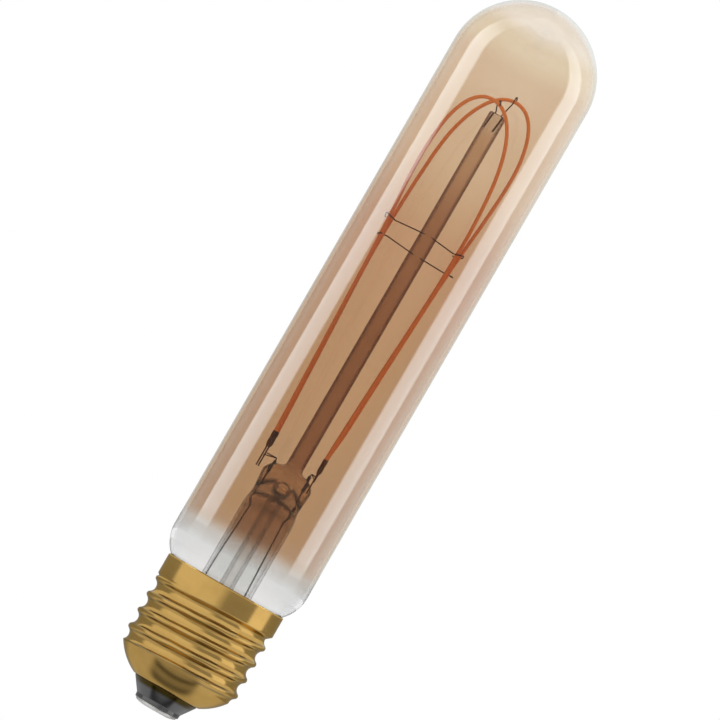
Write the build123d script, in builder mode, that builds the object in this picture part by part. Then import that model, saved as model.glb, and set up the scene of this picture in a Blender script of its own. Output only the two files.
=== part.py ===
from build123d import *
import math
import os

os.makedirs("parts", exist_ok=True)

# Glass envelope: length from the centre contact to the crown of the dome
overall_length = 161.2
tube_diameter = 30.4
envelope_wall = 0.8
shoulder_radius = 8.2
neck_diameter = 22.6
neck_fillet = 3.0
neck_overhang = 0.8
seat_clearance = 0.1

# Rolled brass shell with its round thread
cap_height = 28.8
rim_diameter = 26.25
rim_height = 4.5
rim_runout = 0.9
thread_crest_diameter = 26.15
thread_root_diameter = 24.1
thread_pitch = 25.4 / 7
thread_first_crest = 10.63
thread_crest_radius = 0.6
shell_wall = 0.25
nose_height = 4.7
nose_diameter = 14.8
nose_rise = 5.8
nose_bulge = 0.7
nose_runout = 0.1
lip_width = 1.1

# Insulator and riveted centre contact
insulator_step = 0.3
insulator_foot_diameter = 9.7
insulator_foot_height = 0.9
insulator_draft = 0.1
cup_clearance = 0.25
cup_height = 3.8
cup_wall = 1.2
cup_floor = 1.3
contact_diameter = 9.2
contact_flat_diameter = 4.4
contact_height = 0.8
contact_edge = 0.3
rivet_diameter = 3.0
rivet_head_diameter = 4.6
rivet_head_height = 0.5
solder_cup_depth = 2.0

# Cement ring between the rim and the neck
cement_margin = 0.6

# Stem: flare, press, pump tube and post
flare_diameter = 11.3
flare_wall = 0.55
flare_radius = 9.2
flare_bend_rise = 1.2
press_rise = 26.5
press_height = 7.1
press_taper = 4.2
press_width = 10.9
press_thickness = 4.4
press_root_swell = 0.5
press_waist = 0.3
press_shoulder = 2.6
press_brow = 0.9
press_collar = 0.6
hollow_wall = 0.8
hollow_arch = 0.6
exhaust_diameter = 3.15
exhaust_bore = 2.0
exhaust_seat = 1.2
exhaust_tip_drop = 6.0
exhaust_tip_round = 1.2
blow_hole_diameter = 3.8
blow_hole_offset = 1.0
blow_hole_rise = 2.4
post_diameter = 3.7
post_seat = 2.0
post_headroom = 23.3
post_edge = 0.5

# Sealed-in wires, thick inner leads and thin ties
lead_diameter = 0.36
lead_left_x = 4.0
lead_right_x = 3.55
lead_spread = 4.8
lead_right_drift = 0.6
lead_top_drop = 2.8
lead_pad_x = 5.2
lead_tail = 0.6
inner_lead_diameter = 0.7
inner_lead_left_length = 2.7
inner_lead_right_length = 3.4
tie_diameter = 0.24
tie_pair_gap = 0.06
tie_rise = 0.6
tie_front_drop = 0.7
tie_rear_drop = 0.1
weld_gap = 0.07

# LED filaments and their metal ends
filament_diameter = 0.76
terminal_diameter = 0.9
terminal_length = 3.4
terminal_grip = 1.0
terminal_rise = 5.1
tail_diameter = 0.3
tail_long = 4.4
tail_short = 1.8
terminal_left_front = (-6.95, -0.6)
terminal_left_rear = (-6.5, 0.6)
terminal_right_front = (4.6, -1.6)
terminal_right_rear = (4.75, 0.0)
crown_front_rise = 2.35
crown_rear_rise = 4.1
crown_height = 18.0
crown_front_width = 15.7
crown_rear_width = 16.3
crown_fullness = 2.2
crown_depth = 2.8
crown_front_x = -1.35
crown_rear_x = 0.65
crown_front_lean = -0.06
crown_rear_lean = 0.07

# Support wires on the post
support_diameter = 0.26
support_seat = 1.3
support_upper_drop = 27.9
support_lower_drop = 32.6
held_below = 2.0
held_above = 2.3
hook_clearance = 0.08
hook_approach = 0.15
hook_dip = 0.6
hook_bend = 0.3
upper_left_reach = 0.3
upper_left_tail = 0.25
upper_right_tail = 2.0
upper_tail_drop = 1.1
lower_left_tail = 0.8
lower_right_reach = 0.55
lower_right_tail = 0.45
top_hook_seat = 3.6
top_hook_offset = 0.7
top_hook_foot_shift = 0.3
top_hook_arch = 0.4
top_hook_slant = 0.5
top_hook_share_front = 0.506
top_hook_share_rear = 0.499

# Driver inside the cap
board_diameter = 19.0
board_thickness = 1.0
hole_clearance = 0.1
capacitor_diameter = 6.3
capacitor_height = 9.0
capacitor_edge = 0.4
capacitor_y = 5.6
rectifier_length = 4.7
rectifier_width = 3.9
rectifier_height = 1.5
rectifier_place = (-3.4, -3.9)
chip_length = 4.9
chip_width = 3.9
chip_height = 1.4
chip_place = (2.8, -3.9)
pin_width = 0.45
pin_reach = 1.1
pin_thickness = 0.25
pin_rise = 0.6
fuse_diameter = 2.2
fuse_length = 4.6
fuse_place = (-6.2, 0.9)
sense_length = 3.2
sense_width = 1.6
sense_height = 0.6
sense_place = (5.7, 2.2)
sense_gap = 0.4
hookup_diameter = 0.5
neutral_x = 8.3

# Radii and heights that follow from the sizes above
tube_r = tube_diameter / 2
neck_r = neck_diameter / 2
neck_bore_r = neck_r - envelope_wall
rim_r = rim_diameter / 2
rim_bore_r = rim_r - shell_wall
crest_r = thread_crest_diameter / 2
root_r = thread_root_diameter / 2
thread_depth = crest_r - root_r
thread_arc_sum = (thread_pitch**2 / 4 + thread_depth**2) / (2 * thread_depth)
thread_root_radius = thread_arc_sum - thread_crest_radius
thread_flank = math.degrees(math.asin(thread_pitch / 2 / thread_arc_sum))
rim_bottom = cap_height - rim_height
nose_r = nose_diameter / 2
lip_r = nose_r - lip_width
lip_top = nose_height + shell_wall

# Shoulder arc that passes the rim with its clearance, and the neck fillet under it
seat_r = rim_bore_r - seat_clearance
seat_drop = shoulder_radius - (tube_r - seat_r)
shoulder_z = cap_height + math.sqrt(shoulder_radius**2 - seat_drop**2)
shoulder_turn = math.acos(1 - (tube_r - neck_r) / (shoulder_radius + neck_fillet))
neck_z = shoulder_z - (shoulder_radius + neck_fillet) * math.sin(shoulder_turn)
dome_z = overall_length - tube_r

# Trumpet of the flare, drawn about one centre, cut where it meets the neck's bore
flare_r = flare_diameter / 2
flare_bend_z = cap_height + flare_bend_rise
flare_centre = (flare_r + flare_radius, flare_bend_z)
trumpet_upper = math.acos((flare_centre[0] - neck_bore_r) / flare_radius)
trumpet_lower = math.acos((flare_centre[0] - neck_bore_r) / (flare_radius + flare_wall))
flare_rim_z = flare_bend_z - (flare_radius + flare_wall) * math.sin(trumpet_lower)
neck_end = flare_rim_z - neck_overhang

# Stem heights
press_top = cap_height + press_rise
press_bottom = press_top - press_height
flare_top = press_bottom - press_taper
half_width = press_width / 2
half_thick = press_thickness / 2
post_r = post_diameter / 2
post_bottom = press_top - post_seat
post_top = overall_length - envelope_wall - post_headroom
exhaust_r = exhaust_diameter / 2
exhaust_top = press_bottom + exhaust_seat
exhaust_tip = neck_end - exhaust_tip_drop

# Cap heights
cup_rim = lip_top + cup_height
board_top = cup_rim + board_thickness
floor_top = lip_top + cup_floor
rivet_top = floor_top + rivet_head_height


def round_path(points, widest=math.inf):
    """Straight runs through the points, joined by arcs as large as the runs and widest allow."""
    vectors = [Vector(*p) for p in points]
    runs = [b - a for a, b in zip(vectors, vectors[1:])]
    radii = []
    for before, after in zip(runs, runs[1:]):
        turn = math.radians(before.get_angle(after))
        reach = 0.45 * min(before.length, after.length)
        radii.append(min(widest, reach / math.tan(turn / 2)))
    with BuildLine() as path:
        FilletPolyline(*vectors, radius=radii)
    return path.wire()


def round_rod(path, diameter):
    """Round rod along a path of runs and arcs."""
    with BuildPart() as rod:
        with BuildSketch(Plane(origin=path @ 0, z_dir=path % 0)):
            Circle(diameter / 2)
        sweep(path=path)
    return rod.part


def envelope_form(inset, bottom):
    """Turned form of the bulb, drawn inwards by inset and open from bottom up."""
    turn = math.degrees(shoulder_turn)
    with BuildPart() as form:
        with BuildSketch(Plane.XZ):
            with BuildLine():
                Line((0, bottom), (neck_r - inset, bottom))
                Line((neck_r - inset, bottom), (neck_r - inset, neck_z))
                CenterArc((neck_r + neck_fillet, neck_z), neck_fillet + inset, 180, -turn)
                CenterArc((tube_r - shoulder_radius, shoulder_z), shoulder_radius - inset, -turn, turn)
                Line((tube_r - inset, shoulder_z), (tube_r - inset, dome_z))
                CenterArc((0, dome_z), tube_r - inset, 0, 90)
                Line((0, dome_z + tube_r - inset), (0, bottom))
            make_face()
        revolve(axis=Axis.Z)
    return form.part


# Centre of the nose's arc, from its ends and its bulge
nose_end = (crest_r + nose_runout, nose_height + nose_rise)
nose_chord = Vector(*nose_end) - Vector(nose_r, nose_height)
nose_arc_r = (nose_chord.length**2 / 4 + nose_bulge**2) / (2 * nose_bulge)
nose_inward = Vector(-nose_chord.Y, nose_chord.X).normalized()
nose_middle = Vector(nose_r, nose_height) + nose_chord * 0.5
nose_centre = nose_middle + nose_inward * (nose_arc_r - nose_bulge)


def nose_reach(inset):
    """Radius at which the nose's arc meets the lip's plane."""
    drop = nose_centre.Y - nose_height - inset
    return nose_centre.X + math.sqrt((nose_arc_r - inset) ** 2 - drop**2)


def thread_half_turn(inset):
    """Half a turn of the thread, its round crests and roots swept along a helix."""
    first = thread_first_crest - 3 * thread_pitch
    turns = math.ceil((rim_bottom - first) / thread_pitch) + 1
    last = first + (turns - 1) * thread_pitch
    flank = math.radians(thread_flank)
    crest_x = crest_r - thread_crest_radius
    end_x = crest_x + (thread_crest_radius - inset) * math.cos(flank)
    end_z = (thread_crest_radius - inset) * math.sin(flank)
    with BuildLine() as path:
        Helix(thread_pitch, thread_pitch / 2, nose_r)
    with BuildPart() as half:
        with BuildSketch(Plane.XZ):
            with BuildLine():
                for k in range(turns):
                    z = first + k * thread_pitch
                    CenterArc((crest_x, z), thread_crest_radius - inset, -thread_flank, 2 * thread_flank)
                for k in range(turns - 1):
                    z = first + (k + 0.5) * thread_pitch
                    root_x = root_r + thread_root_radius
                    CenterArc((root_x, z), thread_root_radius + inset, 180 + thread_flank, -2 * thread_flank)
                Polyline(
                    (end_x, first - end_z),
                    (nose_r, first - end_z),
                    (nose_r, last + end_z),
                    (end_x, last + end_z),
                )
            make_face()
        sweep(path=path.wire(), is_frenet=True)
    return half.part


def shell_form(inset, top):
    """Solid form of the rolled shell: thread, nose and rim, drawn inwards by inset."""
    half = thread_half_turn(inset)
    other_half = half.rotate(Axis.Z, 180).translate((0, 0, thread_pitch / 2))
    radius = nose_arc_r - inset
    low = math.degrees(math.atan2(nose_height + inset - nose_centre.Y, nose_reach(inset) - nose_centre.X))
    high = -math.degrees(math.acos((nose_end[0] - nose_centre.X) / radius))
    with BuildPart() as form:
        add(half)
        add(other_half)
        with BuildSketch():
            Circle(nose_r + lip_width)
        extrude(amount=top)
        with BuildSketch(Plane.XZ):
            with BuildLine():
                curve = CenterArc((nose_centre.X, nose_centre.Y), radius, low, high - low)
                Polyline(curve @ 1, (nose_end[0], top), (0, top), (0, nose_height + inset), curve @ 0)
            make_face()
        revolve(axis=Axis.Z, mode=Mode.INTERSECT)
        with BuildSketch(Plane.XZ):
            with BuildLine():
                Polyline(
                    (0, rim_bottom - rim_runout),
                    (root_r - inset, rim_bottom - rim_runout),
                    (rim_r - inset, rim_bottom),
                    (rim_r - inset, top),
                    (0, top),
                    close=True,
                )
            make_face()
        revolve(axis=Axis.Z)
    return form.part


# Screw shell: thin rolled brass, open at the rim and at the lip
shell_outside = shell_form(0, cap_height)
shell_inside = shell_form(shell_wall, cap_height + shell_wall)
with BuildPart() as screw_shell:
    add(shell_outside)
    add(shell_inside, mode=Mode.SUBTRACT)
    with BuildSketch(Plane.XY.offset(nose_height - shell_wall)):
        Circle(lip_r)
    extrude(amount=3 * shell_wall, mode=Mode.SUBTRACT)

# Insulator: black plug moulded through the lip, with a cup that carries the board
cup_r = nose_reach(shell_wall) - cup_clearance
with BuildPart() as cap_insulator:
    with BuildSketch(Plane.XZ):
        with BuildLine():
            foot_r = insulator_foot_diameter / 2
            Polyline(
                (rivet_diameter / 2, contact_height),
                (foot_r, contact_height),
                (foot_r + insulator_draft, contact_height + insulator_foot_height),
                (nose_r - insulator_step, nose_height),
                (lip_r, nose_height),
                (lip_r, lip_top),
                (cup_r, lip_top),
                (cup_r, cup_rim),
                (cup_r - cup_wall, cup_rim),
                (cup_r - cup_wall, floor_top),
                (rivet_diameter / 2, floor_top),
                close=True,
            )
        make_face()
    revolve(axis=Axis.Z)

# Centre contact: domed plate with a flat middle, riveted through the insulator
with BuildPart() as centre_contact:
    with BuildSketch(Plane.XZ):
        with BuildLine():
            contact_r = contact_diameter / 2
            flat_r = contact_flat_diameter / 2
            edge_z = contact_height - contact_edge
            dome = TangentArc((flat_r, 0), (contact_r, edge_z), tangent=(1, 0))
            Polyline(
                dome @ 1,
                (contact_r, contact_height),
                (rivet_diameter / 2, contact_height),
                (rivet_diameter / 2, floor_top),
                (rivet_head_diameter / 2, floor_top),
                (rivet_head_diameter / 2, rivet_top),
                (hookup_diameter / 2, rivet_top),
                (hookup_diameter / 2, rivet_top - solder_cup_depth),
                (0, rivet_top - solder_cup_depth),
                (0, 0),
                dome @ 0,
            )
        make_face()
    revolve(axis=Axis.Z)

# Glass envelope: blown tube with a round dome and a necked-in shoulder
bulb_outside = envelope_form(0, neck_end)
bulb_inside = envelope_form(envelope_wall, neck_end)
with BuildPart() as glass_envelope:
    add(bulb_outside)
    add(bulb_inside, mode=Mode.SUBTRACT)

# Cement ring: fills the space between the rim and the neck
with BuildPart() as cap_cement:
    with BuildSketch(Plane.XY.offset(rim_bottom + cement_margin)):
        Circle(rim_bore_r)
    extrude(amount=rim_height - 2 * cement_margin)
    add(bulb_outside, mode=Mode.SUBTRACT)

# Lead wires: from the board through the flare and the press
lead_top = press_top - lead_top_drop
lead_end = cup_rim - lead_tail
lead_left_path = round_path(
    [
        (-lead_left_x, 0, lead_top),
        (-lead_left_x, 0, flare_top),
        (-lead_spread, 0, flare_bend_z + flare_bend_rise),
        (-lead_spread, 0, neck_end),
        (-lead_pad_x, 0, board_top + capacitor_height / 2),
        (-lead_pad_x, 0, lead_end),
    ]
)
lead_right_path = round_path(
    [
        (lead_right_x, 0, lead_top),
        (lead_right_x, 0, flare_top + press_taper / 2),
        (lead_right_x + lead_right_drift, 0, flare_bend_z),
        (lead_spread, 0, neck_end),
        (lead_pad_x, 0, board_top + capacitor_height / 2),
        (lead_pad_x, 0, lead_end),
    ]
)
with BuildPart() as lead_wire_left:
    add(round_rod(lead_left_path, lead_diameter))
with BuildPart() as lead_wire_right:
    add(round_rod(lead_right_path, lead_diameter))

# Inner leads: thicker wire ends, welded to the lead wires inside the press
with BuildPart() as inner_lead_left:
    with BuildSketch(Plane.XY.offset(lead_top)):
        with Locations((-lead_left_x, 0)):
            Circle(inner_lead_diameter / 2)
    extrude(amount=inner_lead_left_length)
with BuildPart() as inner_lead_right:
    with BuildSketch(Plane.XY.offset(lead_top)):
        with Locations((lead_right_x, 0)):
            Circle(inner_lead_diameter / 2)
    extrude(amount=inner_lead_right_length)

# Exhaust tube: narrow pump tube with a melted-off tip
with BuildPart() as exhaust_tube:
    with BuildSketch(Plane.XY.offset(exhaust_tip)):
        Circle(exhaust_r)
    extrude(amount=exhaust_top - exhaust_tip)
    fillet(exhaust_tube.faces().sort_by(Axis.Z)[0].edges(), radius=exhaust_tip_round)
    with BuildSketch(Plane.XY.offset(exhaust_tip + exhaust_r)):
        Circle(exhaust_bore / 2)
    extrude(amount=exhaust_top - exhaust_tip, mode=Mode.SUBTRACT)

# Height of the filament ends and of the loops above them
terminal_top = press_top + terminal_rise
filament_end = terminal_top - terminal_grip
support_upper_z = post_top - support_upper_drop
support_lower_z = post_top - support_lower_drop
held_low = support_lower_z - held_below
held_high = support_upper_z + held_above


def crown_points(middle_x, width, lean, top, side):
    """Points over the top of a loop: a full, leaning half oval that tips to one side."""
    base = top - crown_height
    points = []
    for angle in (169, 147, 124, 101, 79, 56, 33, 11):
        across = math.cos(math.radians(angle))
        up = math.sin(math.radians(angle)) ** (2 / crown_fullness)
        wide = math.copysign(abs(across) ** (2 / crown_fullness), across)
        rise = crown_height * up
        x = middle_x + lean * rise + width / 2 * wide
        y = side * crown_depth * (0.62 + 0.38 * up)
        points.append((x, y, base + rise))
    return points


def loop_path(left_leg, right_leg, left_end, right_end, crown):
    """Path of one filament, up the left leg, over the crown and down the right leg."""
    left = [(*left_end, filament_end), (*left_end, terminal_top + terminal_grip)] + left_leg
    right = [(*right_end, filament_end), (*right_end, terminal_top + terminal_grip)] + right_leg
    return round_path(left + crown + right[::-1])


# Legs of the two loops, from the metal ends up past the side supports
leg_mid = held_low - 7.0
leg_top = held_high + 6.0
held_left_front = ((-8.3, -0.5), (-8.8, -0.75))
held_left_rear = ((-8.1, 0.5), (-7.95, 0.75))
held_right_front = ((6.7, -0.5), (6.9, -0.75))
held_right_rear = ((7.0, 0.5), (7.75, 0.75))
filament_front_path = loop_path(
    [
        (-7.5, -0.55, terminal_top + 18),
        (-8.05, -0.5, leg_mid),
        (*held_left_front[0], held_low),
        (*held_left_front[1], held_high),
        (-9.3, -1.3, leg_top),
    ],
    [
        (5.4, -1.3, terminal_top + 18),
        (6.45, -0.55, leg_mid),
        (*held_right_front[0], held_low),
        (*held_right_front[1], held_high),
        (6.75, -1.3, leg_top),
    ],
    terminal_left_front,
    terminal_right_front,
    crown_points(crown_front_x, crown_front_width, crown_front_lean, post_top + crown_front_rise, -1),
)
filament_rear_path = loop_path(
    [
        (-7.2, 0.55, terminal_top + 18),
        (-7.95, 0.5, leg_mid),
        (*held_left_rear[0], held_low),
        (*held_left_rear[1], held_high),
        (-7.7, 1.3, leg_top),
    ],
    [
        (5.35, 0.05, terminal_top + 5),
        (5.85, 0.2, terminal_top + 18),
        (6.65, 0.45, leg_mid),
        (*held_right_rear[0], held_low),
        (*held_right_rear[1], held_high),
        (8.35, 1.3, leg_top),
    ],
    terminal_left_rear,
    terminal_right_rear,
    crown_points(crown_rear_x, crown_rear_width, crown_rear_lean, post_top + crown_rear_rise, 1),
)
with BuildPart() as filament_front:
    add(round_rod(filament_front_path, filament_diameter))
with BuildPart() as filament_rear:
    add(round_rod(filament_rear_path, filament_diameter))


def filament_end_cap(place, tail_length):
    """Metal sleeve that grips a filament's end, with its thin tail."""
    with BuildPart() as sleeve:
        with BuildSketch(Plane.XY.offset(terminal_top)):
            with Locations(place):
                Circle(terminal_diameter / 2)
        extrude(amount=-terminal_length)
        with BuildSketch(Plane.XY.offset(terminal_top)):
            with Locations(place):
                Circle(filament_diameter / 2)
        extrude(amount=-terminal_grip, mode=Mode.SUBTRACT)
        with BuildSketch(Plane.XY.offset(terminal_top - terminal_length)):
            with Locations(place):
                Circle(tail_diameter / 2)
        extrude(amount=-tail_length)
    return sleeve.part


with BuildPart() as filament_terminal_left_front:
    add(filament_end_cap(terminal_left_front, tail_long))
with BuildPart() as filament_terminal_left_rear:
    add(filament_end_cap(terminal_left_rear, tail_long))
with BuildPart() as filament_terminal_right_front:
    add(filament_end_cap(terminal_right_front, tail_long))
with BuildPart() as filament_terminal_right_rear:
    add(filament_end_cap(terminal_right_rear, tail_short))


def tie_path(lead_x, lead_length, side, place, drop):
    """Thin wire from the top of an inner lead to the tail of a filament end."""
    y = side * (tie_diameter + tie_pair_gap) / 2
    foot = Vector(lead_x, y, lead_top + lead_length)
    bend = foot + Vector(0, 0, tie_rise)
    tail = Vector(place[0], place[1], bend.Z - drop)
    aim = (tail - bend).normalized()
    end = tail - aim * (tail_diameter / 2 + weld_gap)
    return round_path([foot, bend, end])


# Ties: one for each filament end, in pairs on the inner leads
tie_left_front_path = tie_path(-lead_left_x, inner_lead_left_length, -1, terminal_left_front, tie_front_drop)
tie_left_rear_path = tie_path(-lead_left_x, inner_lead_left_length, 1, terminal_left_rear, tie_rear_drop)
tie_right_front_path = tie_path(
    lead_right_x, inner_lead_right_length, -1, terminal_right_front, tie_front_drop
)
tie_right_rear_path = tie_path(lead_right_x, inner_lead_right_length, 1, terminal_right_rear, tie_rear_drop)
with BuildPart() as filament_tie_left_front:
    add(round_rod(tie_left_front_path, tie_diameter))
with BuildPart() as filament_tie_left_rear:
    add(round_rod(tie_left_rear_path, tie_diameter))
with BuildPart() as filament_tie_right_front:
    add(round_rod(tie_right_front_path, tie_diameter))
with BuildPart() as filament_tie_right_rear:
    add(round_rod(tie_right_rear_path, tie_diameter))


def strand_place(held, z):
    """Middle of a held strand at a height between the two held points."""
    share = (z - held_low) / (held_high - held_low)
    (x0, y0), (x1, y1) = held
    return x0 + (x1 - x0) * share, y0 + (y1 - y0) * share


def support_path(hand, held_front, held_rear, z, side, lift, reach, tail, tail_drop):
    """Side support: out from the post, past two strands on one side and back round them."""
    front = strand_place(held_front, z)
    rear = strand_place(held_rear, z)
    clear = (filament_diameter + support_diameter) / 2 + hook_clearance
    near, far = (front, rear) if side < 0 else (rear, front)
    outer = max(hand * front[0], hand * rear[0]) + clear + reach
    inner = min(hand * front[0], hand * rear[0]) - clear
    near_y = near[1] + side * clear
    far_y = far[1] - side * clear
    start = post_r - support_seat
    return round_path(
        [
            (hand * start, 0, z),
            (hand * (inner - hook_approach), near_y, z - lift),
            (hand * outer, near_y, z),
            (hand * outer, far_y, z - tail_drop / 2),
            (hand * (outer - tail), far_y, z - tail_drop),
        ],
        hook_bend,
    )


# Side supports: the upper pair passes in front of the strands, the lower pair behind them
left_strands = (held_left_front, held_left_rear)
right_strands = (held_right_front, held_right_rear)
support_upper_left_path = support_path(
    -1, *left_strands, support_upper_z, -1, hook_dip, upper_left_reach, upper_left_tail, upper_tail_drop
)
support_upper_right_path = support_path(
    1, *right_strands, support_upper_z, -1, hook_dip, 0, upper_right_tail, upper_tail_drop
)
support_lower_left_path = support_path(
    -1, *left_strands, support_lower_z, 1, -hook_dip, 0, lower_left_tail, -hook_dip
)
support_lower_right_path = support_path(
    1, *right_strands, support_lower_z, 1, hook_dip / 4, lower_right_reach, lower_right_tail, hook_dip / 4
)
with BuildPart() as support_upper_left:
    add(round_rod(support_upper_left_path, support_diameter))
with BuildPart() as support_upper_right:
    add(round_rod(support_upper_right_path, support_diameter))
with BuildPart() as support_lower_left:
    add(round_rod(support_lower_left_path, support_diameter))
with BuildPart() as support_lower_right:
    add(round_rod(support_lower_right_path, support_diameter))


def top_hook_path(loop, share, side, offset, arch):
    """Top hook: out of the post's end, up inside a crown and over it."""
    held = loop @ share
    clear = (filament_diameter + support_diameter) / 2 + hook_clearance
    foot_y = side * support_diameter
    return round_path(
        [
            (offset - top_hook_foot_shift, foot_y, post_top - top_hook_seat),
            (offset, foot_y, post_top + hook_bend),
            (held.X, held.Y - side * clear, held.Z - clear),
            (held.X, held.Y - side * clear, held.Z + clear + arch),
            (held.X + top_hook_slant / 2, held.Y + side * clear, held.Z + clear + arch),
            (held.X + top_hook_slant, held.Y + side * clear, held.Z - clear / 2),
        ],
        hook_bend,
    )


# Top hooks: one lies tight on the front crown, one stands over the rear crown
top_hook_front_path = top_hook_path(
    filament_front_path, top_hook_share_front, -1, -top_hook_offset, hook_clearance
)
top_hook_rear_path = top_hook_path(
    filament_rear_path, top_hook_share_rear, 1, top_hook_offset, top_hook_arch
)
with BuildPart() as top_hook_front:
    add(round_rod(top_hook_front_path, support_diameter))
with BuildPart() as top_hook_rear:
    add(round_rod(top_hook_rear_path, support_diameter))

# Post: solid glass rod with the support wires melted into it
with BuildPart() as stem_post:
    with BuildSketch(Plane.XY.offset(post_bottom)):
        Circle(post_r)
    extrude(amount=post_top - post_bottom)
    fillet(stem_post.faces().sort_by(Axis.Z)[-1].edges(), radius=post_edge)
    add(support_upper_left.part, mode=Mode.SUBTRACT)
    add(support_upper_right.part, mode=Mode.SUBTRACT)
    add(support_lower_left.part, mode=Mode.SUBTRACT)
    add(support_lower_right.part, mode=Mode.SUBTRACT)
    add(top_hook_front.part, mode=Mode.SUBTRACT)
    add(top_hook_rear.part, mode=Mode.SUBTRACT)

# Hollow in the flare's top: narrows from round to flat and ends in an arch under the press
with BuildPart() as flare_hollow:
    with BuildSketch(Plane.XY.offset(flare_top)):
        Circle(flare_r - flare_wall)
    with BuildSketch(Plane.XY.offset(press_bottom + hollow_arch)):
        Ellipse(half_width - hollow_wall, exhaust_r + hollow_wall / 3)
    loft()
    with BuildSketch(Plane.XZ):
        with BuildLine():
            arch_foot = press_bottom - hollow_arch
            arch = ThreePointArc((-flare_r, arch_foot), (0, press_bottom + hollow_arch), (flare_r, arch_foot))
            Polyline(arch @ 1, (flare_r, flare_top), (-flare_r, flare_top), arch @ 0)
        make_face()
    extrude(amount=flare_r, both=True, mode=Mode.INTERSECT)

# Flare and press: trumpet tube, pinched flat over the wires, with the post standing on it
with BuildPart() as stem_flare:
    with BuildSketch(Plane.XZ):
        with BuildLine():
            upper = CenterArc(flare_centre, flare_radius, 180, math.degrees(trumpet_upper))
            lower = CenterArc(flare_centre, flare_radius + flare_wall, 180, math.degrees(trumpet_lower))
            Line(upper @ 1, lower @ 1)
            Polyline(lower @ 0, (flare_r - flare_wall, flare_top), (flare_r, flare_top), upper @ 0)
        make_face()
    revolve(axis=Axis.Z)
    with BuildSketch(Plane.XY.offset(flare_top)):
        Circle(flare_r)
    with BuildSketch(Plane.XY.offset(flare_top + press_taper / 2)):
        Ellipse(flare_r - press_waist / 2, (flare_r + half_thick + press_root_swell) / 2)
    with BuildSketch(Plane.XY.offset(press_bottom)):
        Ellipse(half_width - press_waist, half_thick + press_root_swell)
    with BuildSketch(Plane.XY.offset((press_bottom + press_top - press_shoulder) / 2)):
        Ellipse(half_width - press_waist / 2, half_thick + press_root_swell / 4)
    with BuildSketch(Plane.XY.offset(press_top - press_shoulder)):
        Ellipse(half_width, half_thick)
    with BuildSketch(Plane.XY.offset(press_top - press_brow)):
        Ellipse(half_width - press_brow, half_thick)
    with BuildSketch(Plane.XY.offset(press_top)):
        Ellipse(post_r + press_collar, post_r + press_collar / 4)
    loft()
    add(flare_hollow.part, mode=Mode.SUBTRACT)
    with BuildSketch(Plane.XY.offset(press_bottom)):
        Circle(exhaust_r)
    extrude(amount=exhaust_seat, mode=Mode.SUBTRACT)
    with BuildSketch(Plane.XY.offset(exhaust_top)):
        Circle(exhaust_bore / 2)
    extrude(amount=blow_hole_rise - exhaust_seat, mode=Mode.SUBTRACT)
    with Locations((0, -blow_hole_offset, press_bottom + blow_hole_rise)):
        Sphere(blow_hole_diameter / 2, mode=Mode.SUBTRACT)
    add(lead_wire_left.part, mode=Mode.SUBTRACT)
    add(lead_wire_right.part, mode=Mode.SUBTRACT)
    add(inner_lead_left.part, mode=Mode.SUBTRACT)
    add(inner_lead_right.part, mode=Mode.SUBTRACT)
    with BuildSketch(Plane.XY.offset(post_bottom)):
        Circle(post_r)
    extrude(amount=2 * post_seat, mode=Mode.SUBTRACT)

# Board: round, resting on the insulator's cup, with holes for the four wires
with BuildPart() as driver_board:
    with BuildSketch(Plane.XY.offset(cup_rim)):
        Circle(board_diameter / 2)
        with Locations((-lead_pad_x, 0), (lead_pad_x, 0)):
            Circle(lead_diameter / 2 + hole_clearance, mode=Mode.SUBTRACT)
        with Locations((0, 0), (neutral_x, 0)):
            Circle(hookup_diameter / 2 + hole_clearance, mode=Mode.SUBTRACT)
    extrude(amount=board_thickness)


def flat_package(place, length, width, height, pins):
    """Moulded package with a row of bent pins on each long side."""
    pitch = length / pins
    with BuildPart() as package:
        with BuildSketch(Plane.XY.offset(board_top + pin_thickness / 2)):
            with Locations(place):
                Rectangle(length, width)
        extrude(amount=height)
        with BuildSketch(Plane.XY.offset(board_top)):
            with Locations(place):
                with GridLocations(pitch, width + 2 * pin_reach - pin_thickness, pins, 2):
                    Rectangle(pin_width, pin_thickness)
        extrude(amount=pin_rise)
        with BuildSketch(Plane.XY.offset(board_top + pin_rise)):
            with Locations(place):
                with GridLocations(pitch, width + pin_reach, pins, 2):
                    Rectangle(pin_width, pin_reach)
        extrude(amount=pin_thickness)
    return package.part


# Rectifier and driver chip: moulded packages soldered on the board
with BuildPart() as bridge_rectifier:
    add(flat_package(rectifier_place, rectifier_length, rectifier_width, rectifier_height, 2))
with BuildPart() as driver_chip:
    add(flat_package(chip_place, chip_length, chip_width, chip_height, 4))

# Capacitor: standing can with a rounded top edge
with BuildPart() as smoothing_capacitor:
    with BuildSketch(Plane.XY.offset(board_top)):
        with Locations((0, capacitor_y)):
            Circle(capacitor_diameter / 2)
    extrude(amount=capacitor_height)
    fillet(smoothing_capacitor.faces().sort_by(Axis.Z)[-1].edges(), radius=capacitor_edge)

# Fuse resistor: small round body lying on the board
with BuildPart() as fuse_resistor:
    with BuildSketch(Plane.XZ.offset(-fuse_place[1])):
        with Locations((fuse_place[0], board_top + fuse_diameter / 2)):
            Circle(fuse_diameter / 2)
    extrude(amount=-fuse_length)

# Sense resistors: two chips side by side
with BuildPart() as sense_resistor_a:
    with BuildSketch(Plane.XY.offset(board_top)):
        with Locations(sense_place):
            Rectangle(sense_length, sense_width)
    extrude(amount=sense_height)
with BuildPart() as sense_resistor_b:
    with BuildSketch(Plane.XY.offset(board_top)):
        with Locations((sense_place[0], sense_place[1] + sense_width + sense_gap)):
            Rectangle(sense_length, sense_width)
    extrude(amount=sense_height)

# Live wire: straight up from the rivet's solder cup through the board
with BuildPart() as live_wire:
    with BuildSketch(Plane.XY.offset(rivet_top - solder_cup_depth)):
        Circle(hookup_diameter / 2)
    extrude(amount=board_top + lead_tail - rivet_top + solder_cup_depth)

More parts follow.
